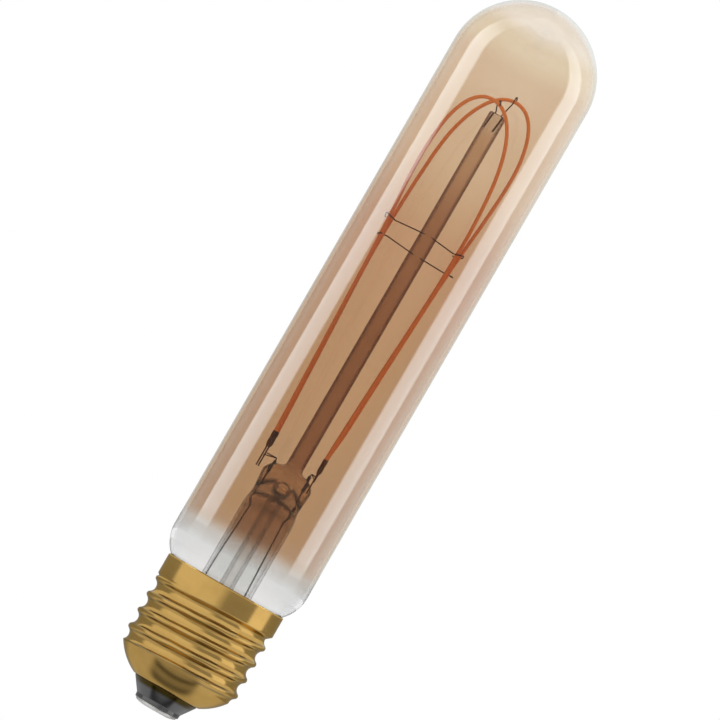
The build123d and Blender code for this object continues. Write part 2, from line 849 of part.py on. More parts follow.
# Neutral wire: from the board to a root of the shell's thread
neutral_z = thread_first_crest + thread_pitch / 2
neutral_path = round_path(
    [
        (neutral_x, 0, cup_rim),
        (neutral_x, 0, neutral_z),
        (root_r - shell_wall - weld_gap, 0, neutral_z),
    ]
)
with BuildPart() as neutral_wire:
    add(round_rod(neutral_path, hookup_diameter))

glass_envelope.part.label = "glass_envelope"
export_step(glass_envelope.part, "parts/glass_envelope.step")
screw_shell.part.label = "screw_shell"
export_step(screw_shell.part, "parts/screw_shell.step")
cap_insulator.part.label = "cap_insulator"
export_step(cap_insulator.part, "parts/cap_insulator.step")
centre_contact.part.label = "centre_contact"
export_step(centre_contact.part, "parts/centre_contact.step")
cap_cement.part.label = "cap_cement"
export_step(cap_cement.part, "parts/cap_cement.step")
stem_flare.part.label = "stem_flare"
export_step(stem_flare.part, "parts/stem_flare.step")
stem_post.part.label = "stem_post"
export_step(stem_post.part, "parts/stem_post.step")
exhaust_tube.part.label = "exhaust_tube"
export_step(exhaust_tube.part, "parts/exhaust_tube.step")
lead_wire_left.part.label = "lead_wire_left"
export_step(lead_wire_left.part, "parts/lead_wire_left.step")
lead_wire_right.part.label = "lead_wire_right"
export_step(lead_wire_right.part, "parts/lead_wire_right.step")
inner_lead_left.part.label = "inner_lead_left"
export_step(inner_lead_left.part, "parts/inner_lead_left.step")
inner_lead_right.part.label = "inner_lead_right"
export_step(inner_lead_right.part, "parts/inner_lead_right.step")
filament_tie_left_front.part.label = "filament_tie_left_front"
export_step(filament_tie_left_front.part, "parts/filament_tie_left_front.step")
filament_tie_left_rear.part.label = "filament_tie_left_rear"
export_step(filament_tie_left_rear.part, "parts/filament_tie_left_rear.step")
filament_tie_right_front.part.label = "filament_tie_right_front"
export_step(filament_tie_right_front.part, "parts/filament_tie_right_front.step")
filament_tie_right_rear.part.label = "filament_tie_right_rear"
export_step(filament_tie_right_rear.part, "parts/filament_tie_right_rear.step")
filament_terminal_left_front.part.label = "filament_terminal_left_front"
export_step(filament_terminal_left_front.part, "parts/filament_terminal_left_front.step")
filament_terminal_left_rear.part.label = "filament_terminal_left_rear"
export_step(filament_terminal_left_rear.part, "parts/filament_terminal_left_rear.step")
filament_terminal_right_front.part.label = "filament_terminal_right_front"
export_step(filament_terminal_right_front.part, "parts/filament_terminal_right_front.step")
filament_terminal_right_rear.part.label = "filament_terminal_right_rear"
export_step(filament_terminal_right_rear.part, "parts/filament_terminal_right_rear.step")
filament_front.part.label = "filament_front"
export_step(filament_front.part, "parts/filament_front.step")
filament_rear.part.label = "filament_rear"
export_step(filament_rear.part, "parts/filament_rear.step")
support_upper_left.part.label = "support_upper_left"
export_step(support_upper_left.part, "parts/support_upper_left.step")
support_upper_right.part.label = "support_upper_right"
export_step(support_upper_right.part, "parts/support_upper_right.step")
support_lower_left.part.label = "support_lower_left"
export_step(support_lower_left.part, "parts/support_lower_left.step")
support_lower_right.part.label = "support_lower_right"
export_step(support_lower_right.part, "parts/support_lower_right.step")
top_hook_front.part.label = "top_hook_front"
export_step(top_hook_front.part, "parts/top_hook_front.step")
top_hook_rear.part.label = "top_hook_rear"
export_step(top_hook_rear.part, "parts/top_hook_rear.step")
driver_board.part.label = "driver_board"
export_step(driver_board.part, "parts/driver_board.step")
bridge_rectifier.part.label = "bridge_rectifier"
export_step(bridge_rectifier.part, "parts/bridge_rectifier.step")
driver_chip.part.label = "driver_chip"
export_step(driver_chip.part, "parts/driver_chip.step")
smoothing_capacitor.part.label = "smoothing_capacitor"
export_step(smoothing_capacitor.part, "parts/smoothing_capacitor.step")
fuse_resistor.part.label = "fuse_resistor"
export_step(fuse_resistor.part, "parts/fuse_resistor.step")
sense_resistor_a.part.label = "sense_resistor_a"
export_step(sense_resistor_a.part, "parts/sense_resistor_a.step")
sense_resistor_b.part.label = "sense_resistor_b"
export_step(sense_resistor_b.part, "parts/sense_resistor_b.step")
live_wire.part.label = "live_wire"
export_step(live_wire.part, "parts/live_wire.step")
neutral_wire.part.label = "neutral_wire"
export_step(neutral_wire.part, "parts/neutral_wire.step")
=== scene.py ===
"""Looks of a tubular screw-base filament lamp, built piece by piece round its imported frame."""

import math

import bmesh
import bpy
import numpy as np
from mathutils import Matrix, Vector


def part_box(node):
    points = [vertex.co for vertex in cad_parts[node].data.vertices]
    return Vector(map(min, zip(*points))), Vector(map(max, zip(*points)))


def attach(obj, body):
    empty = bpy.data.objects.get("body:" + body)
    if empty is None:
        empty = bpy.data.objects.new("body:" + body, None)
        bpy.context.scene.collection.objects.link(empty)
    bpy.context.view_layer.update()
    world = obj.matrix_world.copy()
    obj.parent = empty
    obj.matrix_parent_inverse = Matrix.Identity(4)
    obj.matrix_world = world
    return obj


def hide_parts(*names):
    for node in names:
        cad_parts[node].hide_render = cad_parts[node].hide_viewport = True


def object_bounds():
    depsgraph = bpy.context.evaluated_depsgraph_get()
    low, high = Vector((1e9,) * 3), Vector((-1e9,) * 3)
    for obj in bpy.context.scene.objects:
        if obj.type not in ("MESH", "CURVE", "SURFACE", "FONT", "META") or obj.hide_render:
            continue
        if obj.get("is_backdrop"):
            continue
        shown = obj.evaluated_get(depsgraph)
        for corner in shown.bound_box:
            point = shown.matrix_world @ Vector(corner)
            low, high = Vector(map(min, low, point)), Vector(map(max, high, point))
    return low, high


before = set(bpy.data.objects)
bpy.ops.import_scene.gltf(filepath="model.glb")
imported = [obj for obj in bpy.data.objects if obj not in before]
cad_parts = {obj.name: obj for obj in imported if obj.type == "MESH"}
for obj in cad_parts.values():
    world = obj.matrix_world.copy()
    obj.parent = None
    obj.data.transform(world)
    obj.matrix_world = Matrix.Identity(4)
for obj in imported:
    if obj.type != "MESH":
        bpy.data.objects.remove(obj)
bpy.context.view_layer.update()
mm = 0.001


# Screw shell
# Thin brass sheet, drawn into a cup and rolled between two dies to its round thread. Its lip is
# closed over the insulator below, and cement holds its rim to the glass above.
shell_low, shell_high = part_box("screw_shell")
shell_around = 176
shell_along = 150
shell_wall = 0.25 * mm
crest_radius = 13.075 * mm
root_radius = 12.05 * mm
thread_pitch = 25.4 / 7 * mm
first_crest = 10.63 * mm
crest_arc = 0.6 * mm
thread_depth = crest_radius - root_radius
root_arc = (thread_pitch**2 / 4 + thread_depth**2) / (2 * thread_depth) - crest_arc
shell_sizes = {
    "Bottom": shell_low.z,
    "Height": shell_high.z - shell_low.z,
    "Rim Radius": shell_high.x,
    "Rim Height": 4.5 * mm,
    "Rim Runout": 0.9 * mm,
    "Rim Edge": 0.12 * mm,
    "Lip Width": 1.1 * mm,
    "Nose Radius": 7.4 * mm,
    "Nose Rise": 5.8 * mm,
    "Nose Arc": 12.31 * mm,
    "Nose Arc Radius": 2.058 * mm,
    "Nose Arc Height": 15.794 * mm,
    "Crest Radius": crest_radius,
    "Root Radius": root_radius,
    "Crest Arc": crest_arc,
    "Root Arc": root_arc,
    "Crest Reach": crest_arc * thread_pitch / 2 / (crest_arc + root_arc),
    "Pitch": thread_pitch,
    "First Crest": first_crest,
    "Wander": 0.1,
    "Wander Rise": 95.0,
    "Wander Scale": 2.3,
}
# Painted shade: thin dark lines follow the thread between two heights, standing in for the dark reflections
# on its crests and roots.
line_bands = ((0.13, 0.1), (-0.2, 0.1))
line_waver = 0.22
line_strength = (0.5, 0.95)
shade_line_color = (0.26, 0.2, 0.105)
lines_low = (8.9 * mm, 9.5 * mm)
lines_high = (23.2 * mm, 23.8 * mm)
film_low = 25.5 * mm
film_depth = 0.15 * mm
film_color = (0.8, 0.78, 0.74)


def math_node(operation):
    """Function that adds one Math node and gives its result."""
    return lambda *values: calc(operation, *values)


class Flow:
    """A value that runs through a node tree. Plain arithmetic on it adds Math nodes."""

    __add__ = math_node("ADD")
    __sub__ = math_node("SUBTRACT")
    __mul__ = math_node("MULTIPLY")
    __truediv__ = math_node("DIVIDE")
    __lt__ = math_node("LESS_THAN")
    __gt__ = math_node("GREATER_THAN")
    __abs__ = math_node("ABSOLUTE")

    def __init__(self, socket):
        self.socket = socket
        self.tree = socket.id_data

    def __rsub__(self, other):
        return calc("SUBTRACT", other, self)


def set_inputs(node, inputs):
    """Inputs of a node, set to plain values or linked to what runs through the tree."""
    for key, value in inputs.items():
        if isinstance(value, Flow):
            value.tree.links.new(value.socket, node.inputs[key])
        else:
            node.inputs[key].default_value = value


def add_node(tree, kind, inputs=None, **settings):
    """New node with its settings and inputs."""
    node = tree.nodes.new(kind)
    for key, value in settings.items():
        setattr(node, key, value)
    set_inputs(node, inputs or {})
    return node


def flow(tree, kind, inputs=None, output=0, **settings):
    """What a new node puts out."""
    return Flow(add_node(tree, kind, inputs, **settings).outputs[output])


def calc(operation, *values):
    """Result of one Math node."""
    tree = next(value.tree for value in values if isinstance(value, Flow))
    return flow(tree, "ShaderNodeMath", dict(enumerate(values)), operation=operation)


larger = math_node("MAXIMUM")
smaller = math_node("MINIMUM")


def vector(operation, *values):
    """Result of one Vector Math node."""
    output = "Value" if operation == "LENGTH" else 0
    return flow(values[0].tree, "ShaderNodeVectorMath", dict(enumerate(values)), output, operation=operation)


def axes(place):
    """The three numbers of a place."""
    return [Flow(socket) for socket in add_node(place.tree, "ShaderNodeSeparateXYZ", {0: place}).outputs]


def from_axis(place):
    """Distance of a place from the lamp's axis."""
    return vector("LENGTH", vector("MULTIPLY", place, (1, 1, 0)))


def noise(place, scale, detail=2.0):
    """Cloudy noise at a place."""
    return flow(place.tree, "ShaderNodeTexNoise", {"Vector": place, "Scale": scale, "Detail": detail})


def spread(value, low, high, start=0.0, end=1.0, ease="LINEAR"):
    """Number that goes from start to end while the value goes from low to high."""
    inputs = {0: value, 1: low, 2: high, 3: start, 4: end}
    return flow(value.tree, "ShaderNodeMapRange", inputs, interpolation_type=ease)


def soft_mask(distance, width):
    """One at no distance, falling softly to nothing over a width."""
    return spread(distance, 0.0, width, 1.0, 0.0, "SMOOTHSTEP")


def between(share, low, high):
    """Number part of the way from low to high."""
    return flow(share.tree, "ShaderNodeMix", {0: share, 2: low, 3: high})


def color_between(share, *colors):
    """Colour part of the way from one colour to another."""
    first, last = [color if isinstance(color, Flow) else (*color, 1) for color in colors]
    return flow(share.tree, "ShaderNodeMix", {0: share, 6: first, 7: last}, 2, data_type="RGBA")


def new_tree(name, kind, inputs, outputs):
    """Empty node group with its named inputs, as they run through it, and its last node."""
    tree = bpy.data.node_groups.new(name, kind)
    for in_out, sockets in (("INPUT", inputs), ("OUTPUT", outputs)):
        for label, socket_kind in sockets.items():
            tree.interface.new_socket(label, in_out=in_out, socket_type="NodeSocket" + socket_kind)
    start = tree.nodes.new("NodeGroupInput").outputs
    return tree, {label: Flow(start[label]) for label in inputs}, tree.nodes.new("NodeGroupOutput")


def finish_tree(geometry, material, out):
    """Last nodes of a tree: smooth shading, plain geometry and its material."""
    smooth = flow(geometry.tree, "GeometryNodeSetShadeSmooth", {"Geometry": geometry})
    plain = flow(geometry.tree, "GeometryNodeRealizeInstances", {"Geometry": smooth})
    shown = flow(geometry.tree, "GeometryNodeSetMaterial", {"Geometry": plain, "Material": material})
    set_inputs(out, {0: shown})


def link_piece(name, data):
    """Piece with this mesh or other data, at the origin."""
    piece = bpy.data.objects.new(name, data)
    bpy.context.scene.collection.objects.link(piece)
    return piece


def made_mesh(piece):
    """Plain mesh of a piece with its modifiers carried out."""
    return bpy.data.meshes.new_from_object(piece.evaluated_get(bpy.context.evaluated_depsgraph_get()))


def run_tree(name, tree, values, data=None):
    """Piece made by a node tree with these input values, as a plain mesh at the origin."""
    maker = link_piece(name + "_maker", data or bpy.data.meshes.new(name + "_start"))
    modifier = maker.modifiers.new(tree.name, "NODES")
    modifier.node_group = tree
    for item in tree.interface.items_tree:
        if item.in_out == "INPUT" and item.name in values:
            modifier[item.identifier] = values[item.name]
    mesh = made_mesh(maker)
    bpy.data.objects.remove(maker)
    return link_piece(name, mesh)


def arc_rise(radius, gap):
    """Height of a round arc at a distance from its middle."""
    rest = calc("POWER", radius, 2.0) - calc("POWER", gap, 2.0)
    return calc("SQRT", larger(rest, 0.0))


def turn_rest(phase):
    """Part of a turn from the nearest whole one, from minus a half to a half."""
    return calc("FRACT", phase + 0.5) - 0.5


def rolled_shell_tree():
    """Tree that bends a grid into the shell: lip, nose, thread and rim, by one rule for the radius."""
    sockets = {label: "Float" for label in shell_sizes}
    sockets["Material"] = "Material"
    tree, size, out = new_tree("rolled_shell", "GeometryNodeTree", sockets, {"Shell": "Geometry"})
    grid_sizes = {"Size X": 1.0, "Size Y": 1.0, "Vertices X": shell_around + 1, "Vertices Y": shell_along + 1}
    grid = flow(tree, "GeometryNodeMeshGrid", grid_sizes)
    x, y, _ = axes(flow(tree, "GeometryNodeInputPosition"))
    turn = x + 0.5
    angle = turn * (2 * math.pi)
    along = (y + 0.5) * (size["Height"] + size["Lip Width"]) - size["Lip Width"]
    height = size["Bottom"] + larger(along, 0.0)
    across = calc("COSINE", angle)
    deep = calc("SINE", angle)

    spot = flow(tree, "ShaderNodeCombineXYZ", {0: across, 1: deep, 2: height * size["Wander Rise"]})
    wander = (noise(spot, size["Wander Scale"]) - 0.5) * size["Wander"]
    phase = (height - size["First Crest"]) / size["Pitch"] - turn + wander
    crest_gap = abs(turn_rest(phase)) * size["Pitch"]
    root_gap = size["Pitch"] * 0.5 - crest_gap
    on_crest = size["Crest Radius"] - size["Crest Arc"] + arc_rise(size["Crest Arc"], crest_gap)
    in_root = size["Root Radius"] + size["Root Arc"] - arc_rise(size["Root Arc"], root_gap)
    thread = between(crest_gap < size["Crest Reach"], in_root, on_crest)

    nose = size["Nose Arc Radius"] + arc_rise(size["Nose Arc"], height - size["Nose Arc Height"])
    form = smaller(thread, nose + (along > size["Nose Rise"]))
    rim_start = size["Height"] - size["Rim Height"]
    runout_start = rim_start - size["Rim Runout"]
    cone = spread(along, runout_start, rim_start, size["Root Radius"], size["Rim Radius"])
    rim = cone * (along > runout_start)
    edge_gap = larger(along - (size["Height"] - size["Rim Edge"]), 0.0)
    edge_drop = size["Rim Edge"] - arc_rise(size["Rim Edge"], edge_gap)
    wall = larger(form, rim) - edge_drop
    lip = size["Nose Radius"] + smaller(along, 0.0)
    radius = between(along < 0.0, wall, lip)

    point = flow(tree, "ShaderNodeCombineXYZ", {0: radius * across, 1: radius * deep, 2: height})
    bent = flow(tree, "GeometryNodeSetPosition", {"Geometry": grid, "Position": point})
    seam = flow(tree, "GeometryNodeMergeByDistance", {"Geometry": bent, "Distance": 1e-6})
    finish_tree(seam, size["Material"], out)
    return tree


def rolled_metal_group():
    """Shared effect: fine lines left by rolling or drawing, with cloudy tarnish."""
    inputs = {"Vector": "Vector", "Line Scale": "Float", "Cloud Scale": "Float", "Clean": "Color"}
    inputs.update({"Tarnished": "Color", "Roughest": "Float", "Smoothest": "Float"})
    outputs = {"Color": "Color", "Roughness": "Float", "Height": "Float"}
    tree, given, out = new_tree("rolled_metal", "ShaderNodeTree", inputs, outputs)
    drawn_out = vector("MULTIPLY", given["Vector"], (0.04, 0.04, 1.0))
    lines = noise(drawn_out, given["Line Scale"], detail=3.0)
    dull = spread(noise(given["Vector"], given["Cloud Scale"], detail=4.0), 0.42, 0.72)
    rough = spread(lines + dull * 0.3, 0.35, 0.95, given["Smoothest"], given["Roughest"])
    color = color_between(dull, given["Clean"], given["Tarnished"])
    set_inputs(out, {"Color": color, "Roughness": rough, "Height": lines})
    return tree


def new_material(name):
    """Material with its Principled shader, and the surface's own place in the lamp."""
    made = bpy.data.materials.new(name)
    made.use_nodes = True
    tree = made.node_tree
    return made, tree.nodes["Principled BSDF"], flow(tree, "ShaderNodeTexCoord", output="Object")


def set_sockets(shader, **values):
    """Sockets of a shader, set to plain values or linked."""
    set_inputs(shader, {key.replace("_", " "): value for key, value in values.items()})


def bump(shader, height, strength, distance):
    """Small relief on a surface."""
    inputs = {"Strength": strength, "Distance": distance, "Height": height}
    set_sockets(shader, Normal=flow(height.tree, "ShaderNodeBump", inputs))


rolled_metal = rolled_metal_group()


def metal_material(
    name, clean, tarnished, roughness, line_scale=4000.0, cloud_scale=700.0, relief=0.005 * mm
):
    """Bare metal with the shared rolled finish, from its smoothest to its roughest."""
    made, shader, place = new_material(name)
    inputs = {
        "Vector": place,
        "Line Scale": line_scale,
        "Cloud Scale": cloud_scale,
        "Clean": (*clean, 1),
        "Tarnished": (*tarnished, 1),
        "Smoothest": roughness[0],
        "Roughest": roughness[1],
    }
    finish = add_node(place.tree, "ShaderNodeGroup", inputs, node_tree=rolled_metal)
    color, rough, height = [Flow(socket) for socket in finish.outputs]
    set_sockets(shader, Base_Color=color, Roughness=rough, Metallic=1.0)
    bump(shader, height, strength=0.25, distance=relief)
    return made, shader, place, color


brass, shader, place, color = metal_material(
    "brass", (0.64, 0.405, 0.125), (0.55, 0.34, 0.10), (0.12, 0.22),
    line_scale=5200.0, cloud_scale=160.0, relief=0.01 * mm,
)
x, y, z = axes(place)
# Painted shade: the brass colour darkens along lines that follow the thread, in patches, as the dark
# reflections at the crests would.
spin = calc("ARCTAN2", y, x) / (2 * math.pi)
waves = (noise(place, scale=130.0) - 0.5) * line_waver
phase = turn_rest((z - first_crest) / thread_pitch - spin + waves)
lines = 0.0
for middle, width in line_bands:
    lines = larger(lines, soft_mask(abs(phase - middle), width))
patches = spread(noise(place, scale=190.0), 0.35, 0.6, *line_strength)
zone = spread(z, *lines_low) * spread(z, *lines_high, 1.0, 0.0)
shade_lined = color_between(lines * patches * zone, color, shade_line_color)
filmed = (from_axis(place) < shell_high.x - film_depth) * (z > film_low)
set_sockets(
    shader,
    Base_Color=color_between(filmed, shade_lined, film_color),
    Metallic=1.0 - filmed,
    Specular_Tint=(0.82, 0.74, 0.56, 1),
)

screw_shell = run_tree("screw_shell_rolled", rolled_shell_tree(), {**shell_sizes, "Material": brass})
thickness = screw_shell.modifiers.new("sheet", "SOLIDIFY")
thickness.thickness = shell_wall
thickness.offset = -1.0
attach(screw_shell, "root")
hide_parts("screw_shell")


# Insulator
# Black glass-like plug, moulded through the shell's lip. It tapers to a short foot that carries the
# contact, and its cup inside the shell carries the circuit board.
insulator_low, insulator_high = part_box("cap_insulator")
turned_around = 192
corner_steps = 6
lip_radius = 6.3 * mm
lip_top = shell_low.z + shell_wall
cup_wall = 1.2 * mm
cup_floor = 1.3 * mm
cup_edge = 0.3 * mm
foot_radius = 4.85 * mm
foot_height = 0.9 * mm
foot_draft = 0.1 * mm
foot_edge = 0.2 * mm
foot_root = 0.5 * mm
lip_edge = 0.12 * mm
rivet_radius = 1.5 * mm
shown_radius = 7.1 * mm
cup_inside_radius = 7.09 * mm
# Painted shade: a dark metallic band at the plug's top stands for the shell's brass lip as it looks in
# shadow.
lip_band = (3.3 * mm, 3.9 * mm)
shaded_lip_color = (0.07, 0.05, 0.012)


def rounded(corners):
    """Outline of (radius, height) points through corners of (radius, height, rounding)."""
    points = []
    count = len(corners)
    for k, (x, z, rounding) in enumerate(corners):
        here = Vector((x, z))
        if rounding == 0:
            points.append(here)
            continue
        back, ahead = [(Vector(corners[j % count][:2]) - here).normalized() for j in (k - 1, k + 1)]
        half = back.angle(ahead) / 2
        start, end = [here + way * (rounding / math.tan(half)) for way in (back, ahead)]
        middle = here + (back + ahead).normalized() * (rounding / math.sin(half))
        first = start - middle
        turn = first.angle_signed(end - middle)
        for step in range(corner_steps + 1):
            spin = -turn * step / corner_steps
            across = first.x * math.cos(spin) - first.y * math.sin(spin)
            up = first.x * math.sin(spin) + first.y * math.cos(spin)
            points.append(middle + Vector((across, up)))
    return [(p.x, p.y) for p in points]


def shade(piece, angle=38):
    """Smooth shading, with edges over the angle left sharp."""
    piece.data.shade_smooth()
    piece.data.set_sharp_from_angle(angle=math.radians(angle))


def ring_piece(name, rings, closed=False):
    """Piece from rings of points, each ring joined to the next; a ring of one point is a pole."""
    points = [point for ring in rings for point in ring]
    starts = np.cumsum([0] + [len(ring) for ring in rings])
    faces = []
    for low in range(len(rings) if closed else len(rings) - 1):
        high = (low + 1) % len(rings)
        around = max(len(rings[low]), len(rings[high]))
        for k in range(around):
            nxt = (k + 1) % around
            face = []
            for ring, steps in ((low, (k, nxt)), (high, (nxt, k))):
                if len(rings[ring]) == 1:
                    face.append(int(starts[ring]))
                else:
                    face += [int(starts[ring]) + step for step in steps]
            faces.append(face)
    mesh = bpy.data.meshes.new(name)
    mesh.from_pydata([tuple(p) for p in points], [], faces)
    mesh.validate()
    return link_piece(name, mesh)


def turned_rings(outline, around, middle=(0, 0)):
    """Rings of an outline of (radius, height) points turned about an upright line."""
    turns = [2 * math.pi * k / around for k in range(around)]
    rings = []
    for radius, z in outline:
        ring = [(middle[0] + radius * math.cos(a), middle[1] + radius * math.sin(a), z) for a in turns]
        rings.append(ring if radius > 1e-7 else [(*middle, z)])
    return rings


def turned_piece(name, outline, closed=False):
    """Outline turned about the lamp's axis, smooth but at its sharp edges."""
    piece = ring_piece(name, turned_rings(outline, turned_around), closed)
    shade(piece)
    return piece


insulator_corners = [
    (rivet_radius, insulator_low.z, 0),
    (foot_radius, insulator_low.z, foot_edge),
    (foot_radius + foot_draft, insulator_low.z + foot_height, foot_root),
    (shown_radius, shell_low.z, lip_edge),
    (lip_radius, shell_low.z, 0),
    (lip_radius, lip_top, 0),
    (cup_inside_radius, lip_top, foot_edge),
    (cup_inside_radius, insulator_high.z, cup_edge),
    (cup_inside_radius - cup_wall, insulator_high.z, cup_edge),
    (cup_inside_radius - cup_wall, lip_top + cup_floor, cup_edge),
    (rivet_radius, lip_top + cup_floor, 0),
]
insulator = turned_piece("cap_insulator_moulded", rounded(insulator_corners), closed=True)
black_glaze, shader, place = new_material("black_glaze")
specks = noise(place, scale=900.0, detail=3.0)
# The band near the lip is brass darkened as painted shade, metallic where it shows.
near_lip = spread(axes(place)[2], *lip_band)
glaze = color_between(specks, (0.006, 0.006, 0.007), (0.02, 0.019, 0.02))
set_sockets(
    shader,
    Base_Color=color_between(near_lip, glaze, shaded_lip_color),
    Metallic=near_lip,
    Roughness=spread(specks, 0.0, 1.0, 0.05, 0.16),
    IOR=2.2,
)
bump(shader, specks, strength=0.15, distance=0.01 * mm)
insulator.data.materials.append(black_glaze)
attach(insulator, "root")
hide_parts("cap_insulator")


# Centre contact
# Tinned plate with a domed face, stamped from sheet and riveted through the insulator's middle.
# It rests on the spring in the lamp holder, and the live wire is soldered into its rivet.
_, contact_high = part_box("centre_contact")
contact_radius = contact_high.x
contact_flat = 2.2 * mm
contact_height = 0.8 * mm
contact_edge = 0.3 * mm
rivet_head_radius = 2.3 * mm
rivet_head_edge = 0.2 * mm
solder_cup_radius = 0.25 * mm
solder_cup_floor = contact_high.z - 2.0 * mm
edge_roll = 0.1 * mm
dome_rise = contact_height - contact_edge
dome_arc = ((contact_radius - contact_flat) ** 2 + dome_rise**2) / (2 * dome_rise)
dome_steps = 14
dome = []
for step in range(dome_steps + 1):
    out = (contact_radius - edge_roll - contact_flat) * step / dome_steps
    dome.append((contact_flat + out, dome_arc - math.sqrt(dome_arc**2 - out**2)))
head_low = lip_top + cup_floor
rivet = rounded(
    [
        (contact_radius, dome_rise, edge_roll),
        (contact_radius, contact_height, edge_roll / 2),
        (rivet_radius, contact_height, 0),
        (rivet_radius, head_low, 0),
        (rivet_head_radius, head_low, 0),
        (rivet_head_radius, contact_high.z, rivet_head_edge),
        (solder_cup_radius, contact_high.z, 0),
        (solder_cup_radius, solder_cup_floor, 0),
        (0, solder_cup_floor, 0),
    ]
)
contact = turned_piece("centre_contact_stamped", [(0, 0)] + dome + rivet)
tinned, *_ = metal_material(
    "tinned_contact", (0.82, 0.81, 0.79), (0.6, 0.58, 0.55), (0.18, 0.4),
    line_scale=2600.0, cloud_scale=420.0, relief=0.01 * mm,
)
contact.data.materials.append(tinned)
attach(contact, "root")
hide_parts("centre_contact")


# Driver
# Round glass-fibre board on the insulator's cup, with a rectifier, a driver chip, a capacitor and
# three resistors soldered to it. All of it is hidden inside the shell.
def dress(material, *nodes):
    """Finish of CAD nodes whose shape is right as it is."""
    for node in nodes:
        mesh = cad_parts[node].data
        mesh.materials.clear()
        mesh.materials.append(material)


def cloudy_material(name, light, dark, roughness, scale, relief=0.02 * mm):
    """Moulded or painted surface: two near colours in fine clouds, with a slight grain."""
    made, shader, place = new_material(name)
    clouds = noise(place, scale, detail=5.0)
    color = color_between(clouds, dark, light)
    set_sockets(shader, Base_Color=color, Roughness=spread(clouds, 0.0, 1.0, *roughness))
    bump(shader, clouds, strength=0.3, distance=relief)
    return made, shader, place, color


board_mask, shader, place, color = cloudy_material(
    "board_mask", (0.03, 0.16, 0.07), (0.015, 0.1, 0.04), (0.3, 0.45), scale=700.0
)
black, white = (0, 0, 0, 1), (1, 1, 1, 1)
track_inputs = {"Vector": place, "Scale": 260.0, "Mortar Size": 0.05}
track_inputs.update({"Color1": black, "Color2": black, "Mortar": white})
tracks = flow(place.tree, "ShaderNodeTexBrick", track_inputs, "Fac")
track_strength = 0.7
track_color = (0.06, 0.24, 0.1)
set_sockets(shader, Base_Color=color_between(tracks * track_strength, color, track_color))
dress(board_mask, "driver_board")

moulded_black, *_ = cloudy_material(
    "moulded_black", (0.035, 0.035, 0.038), (0.018, 0.018, 0.02), (0.5, 0.7), scale=2200.0
)
dress(moulded_black, "bridge_rectifier", "driver_chip")

_, can_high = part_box("smoothing_capacitor")
bare_edge = 0.25 * mm
bare_color = (0.78, 0.78, 0.78)
can_sleeve, shader, place, color = cloudy_material(
    "can_sleeve", (0.03, 0.05, 0.11), (0.018, 0.03, 0.07), (0.28, 0.4), scale=500.0, relief=0.01 * mm
)
bare_top = axes(place)[2] > can_high.z - bare_edge
set_sockets(shader, Base_Color=color_between(bare_top, color, bare_color), Metallic=bare_top)
dress(can_sleeve, "smoothing_capacitor")

lacquer, *_ = cloudy_material(
    "resistor_lacquer", (0.2, 0.33, 0.4), (0.13, 0.24, 0.3), (0.25, 0.4), scale=900.0
)
dress(lacquer, "fuse_resistor", "sense_resistor_a", "sense_resistor_b")

tinned_wire, *_ = metal_material(
    "tinned_wire", (0.72, 0.71, 0.69), (0.5, 0.48, 0.45), (0.25, 0.45), line_scale=3000.0, cloud_scale=600.0
)
dress(tinned_wire, "live_wire", "neutral_wire")


# Glass stem
# A flared tube, a narrow pump tube and a solid post, melted together in a flame and pinched flat
# over the two wires while soft. The pump tube opens through a blow hole in the press's front.
flare_low, flare_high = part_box("stem_flare")
_, post_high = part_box("stem_post")
pump_low, pump_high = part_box("exhaust_tube")
stem_around = 176
stem_ior = 1.5
post_radius = post_high.x
post_edge = 0.5 * mm
post_fillet = 0.9 * mm
collar_width = 2.45 * mm
collar_depth = 2.0 * mm
press_top = 55.3 * mm
press_bottom = 48.2 * mm
flare_top = 44.0 * mm
flare_bend = 30.0 * mm
flare_radius = 5.65 * mm
flare_wall = 0.55 * mm
flare_bore = flare_radius - flare_wall
trumpet_arc = 9.2 * mm
trumpet_reach = flare_high.x - 0.04 * mm
trumpet_middle = flare_radius + trumpet_arc
trumpet_steps = 14
pump_radius = pump_high.x
pump_bore = 1.0 * mm
pump_tip_round = 1.2 * mm
pump_swell = 0.4 * mm
pump_swell_flat = 0.4
pump_swell_deep = pump_swell * pump_swell_flat
hollow_width = 4.65 * mm
hollow_depth = 1.84 * mm
hollow_arch = 0.6 * mm
roof_drop = 1.2 * mm
roof_curve = 2.2
hollow_curve = 1.4
fold_depth = 0.4 * mm
fold_outer = 5.4 * mm
fold_inner = 2.2 * mm
fold_foot = 47.6 * mm
fold_head = 51.3 * mm
fold_crown = 0.1 * mm
fold_width = 0.35 * mm
fold_spread = 1.6
blow_hole_radius = 1.9 * mm
blow_hole_offset = 1.0 * mm
blow_hole_height = press_bottom + 2.4 * mm
press_sections = [
    (flare_top, flare_radius, flare_radius),
    (46.1 * mm, 5.5 * mm, 4.17 * mm),
    (press_bottom, 5.15 * mm, 2.7 * mm),
    (50.45 * mm, 5.3 * mm, 2.33 * mm),
    (52.7 * mm, 5.45 * mm, 2.2 * mm),
    (54.3 * mm, 4.6 * mm, 2.2 * mm),
    (54.95 * mm, 3.55 * mm, 2.12 * mm),
    (press_top, collar_width, collar_depth),
]


def smooth_between(knots, z):
    """Width and depth at a height, on a smooth curve through the sections given."""
    heights, *columns = zip(*knots)
    k = int(np.clip(np.searchsorted(heights, z) - 1, 0, len(knots) - 2))
    span = heights[k + 1] - heights[k]
    share = (z - heights[k]) / span
    found = []
    for values in columns:
        steps = np.diff(values) / np.diff(heights)
        inner = [0.0 if a * b <= 0 else 2 * a * b / (a + b) for a, b in zip(steps, steps[1:])]
        slopes = [0.0, *inner, 0.0]
        found.append(
            (1 + 2 * share) * (1 - share) ** 2 * values[k]
            + share * (1 - share) ** 2 * span * slopes[k]
            + share**2 * (3 - 2 * share) * values[k + 1]
            + share**2 * (share - 1) * span * slopes[k + 1]
        )
    return found


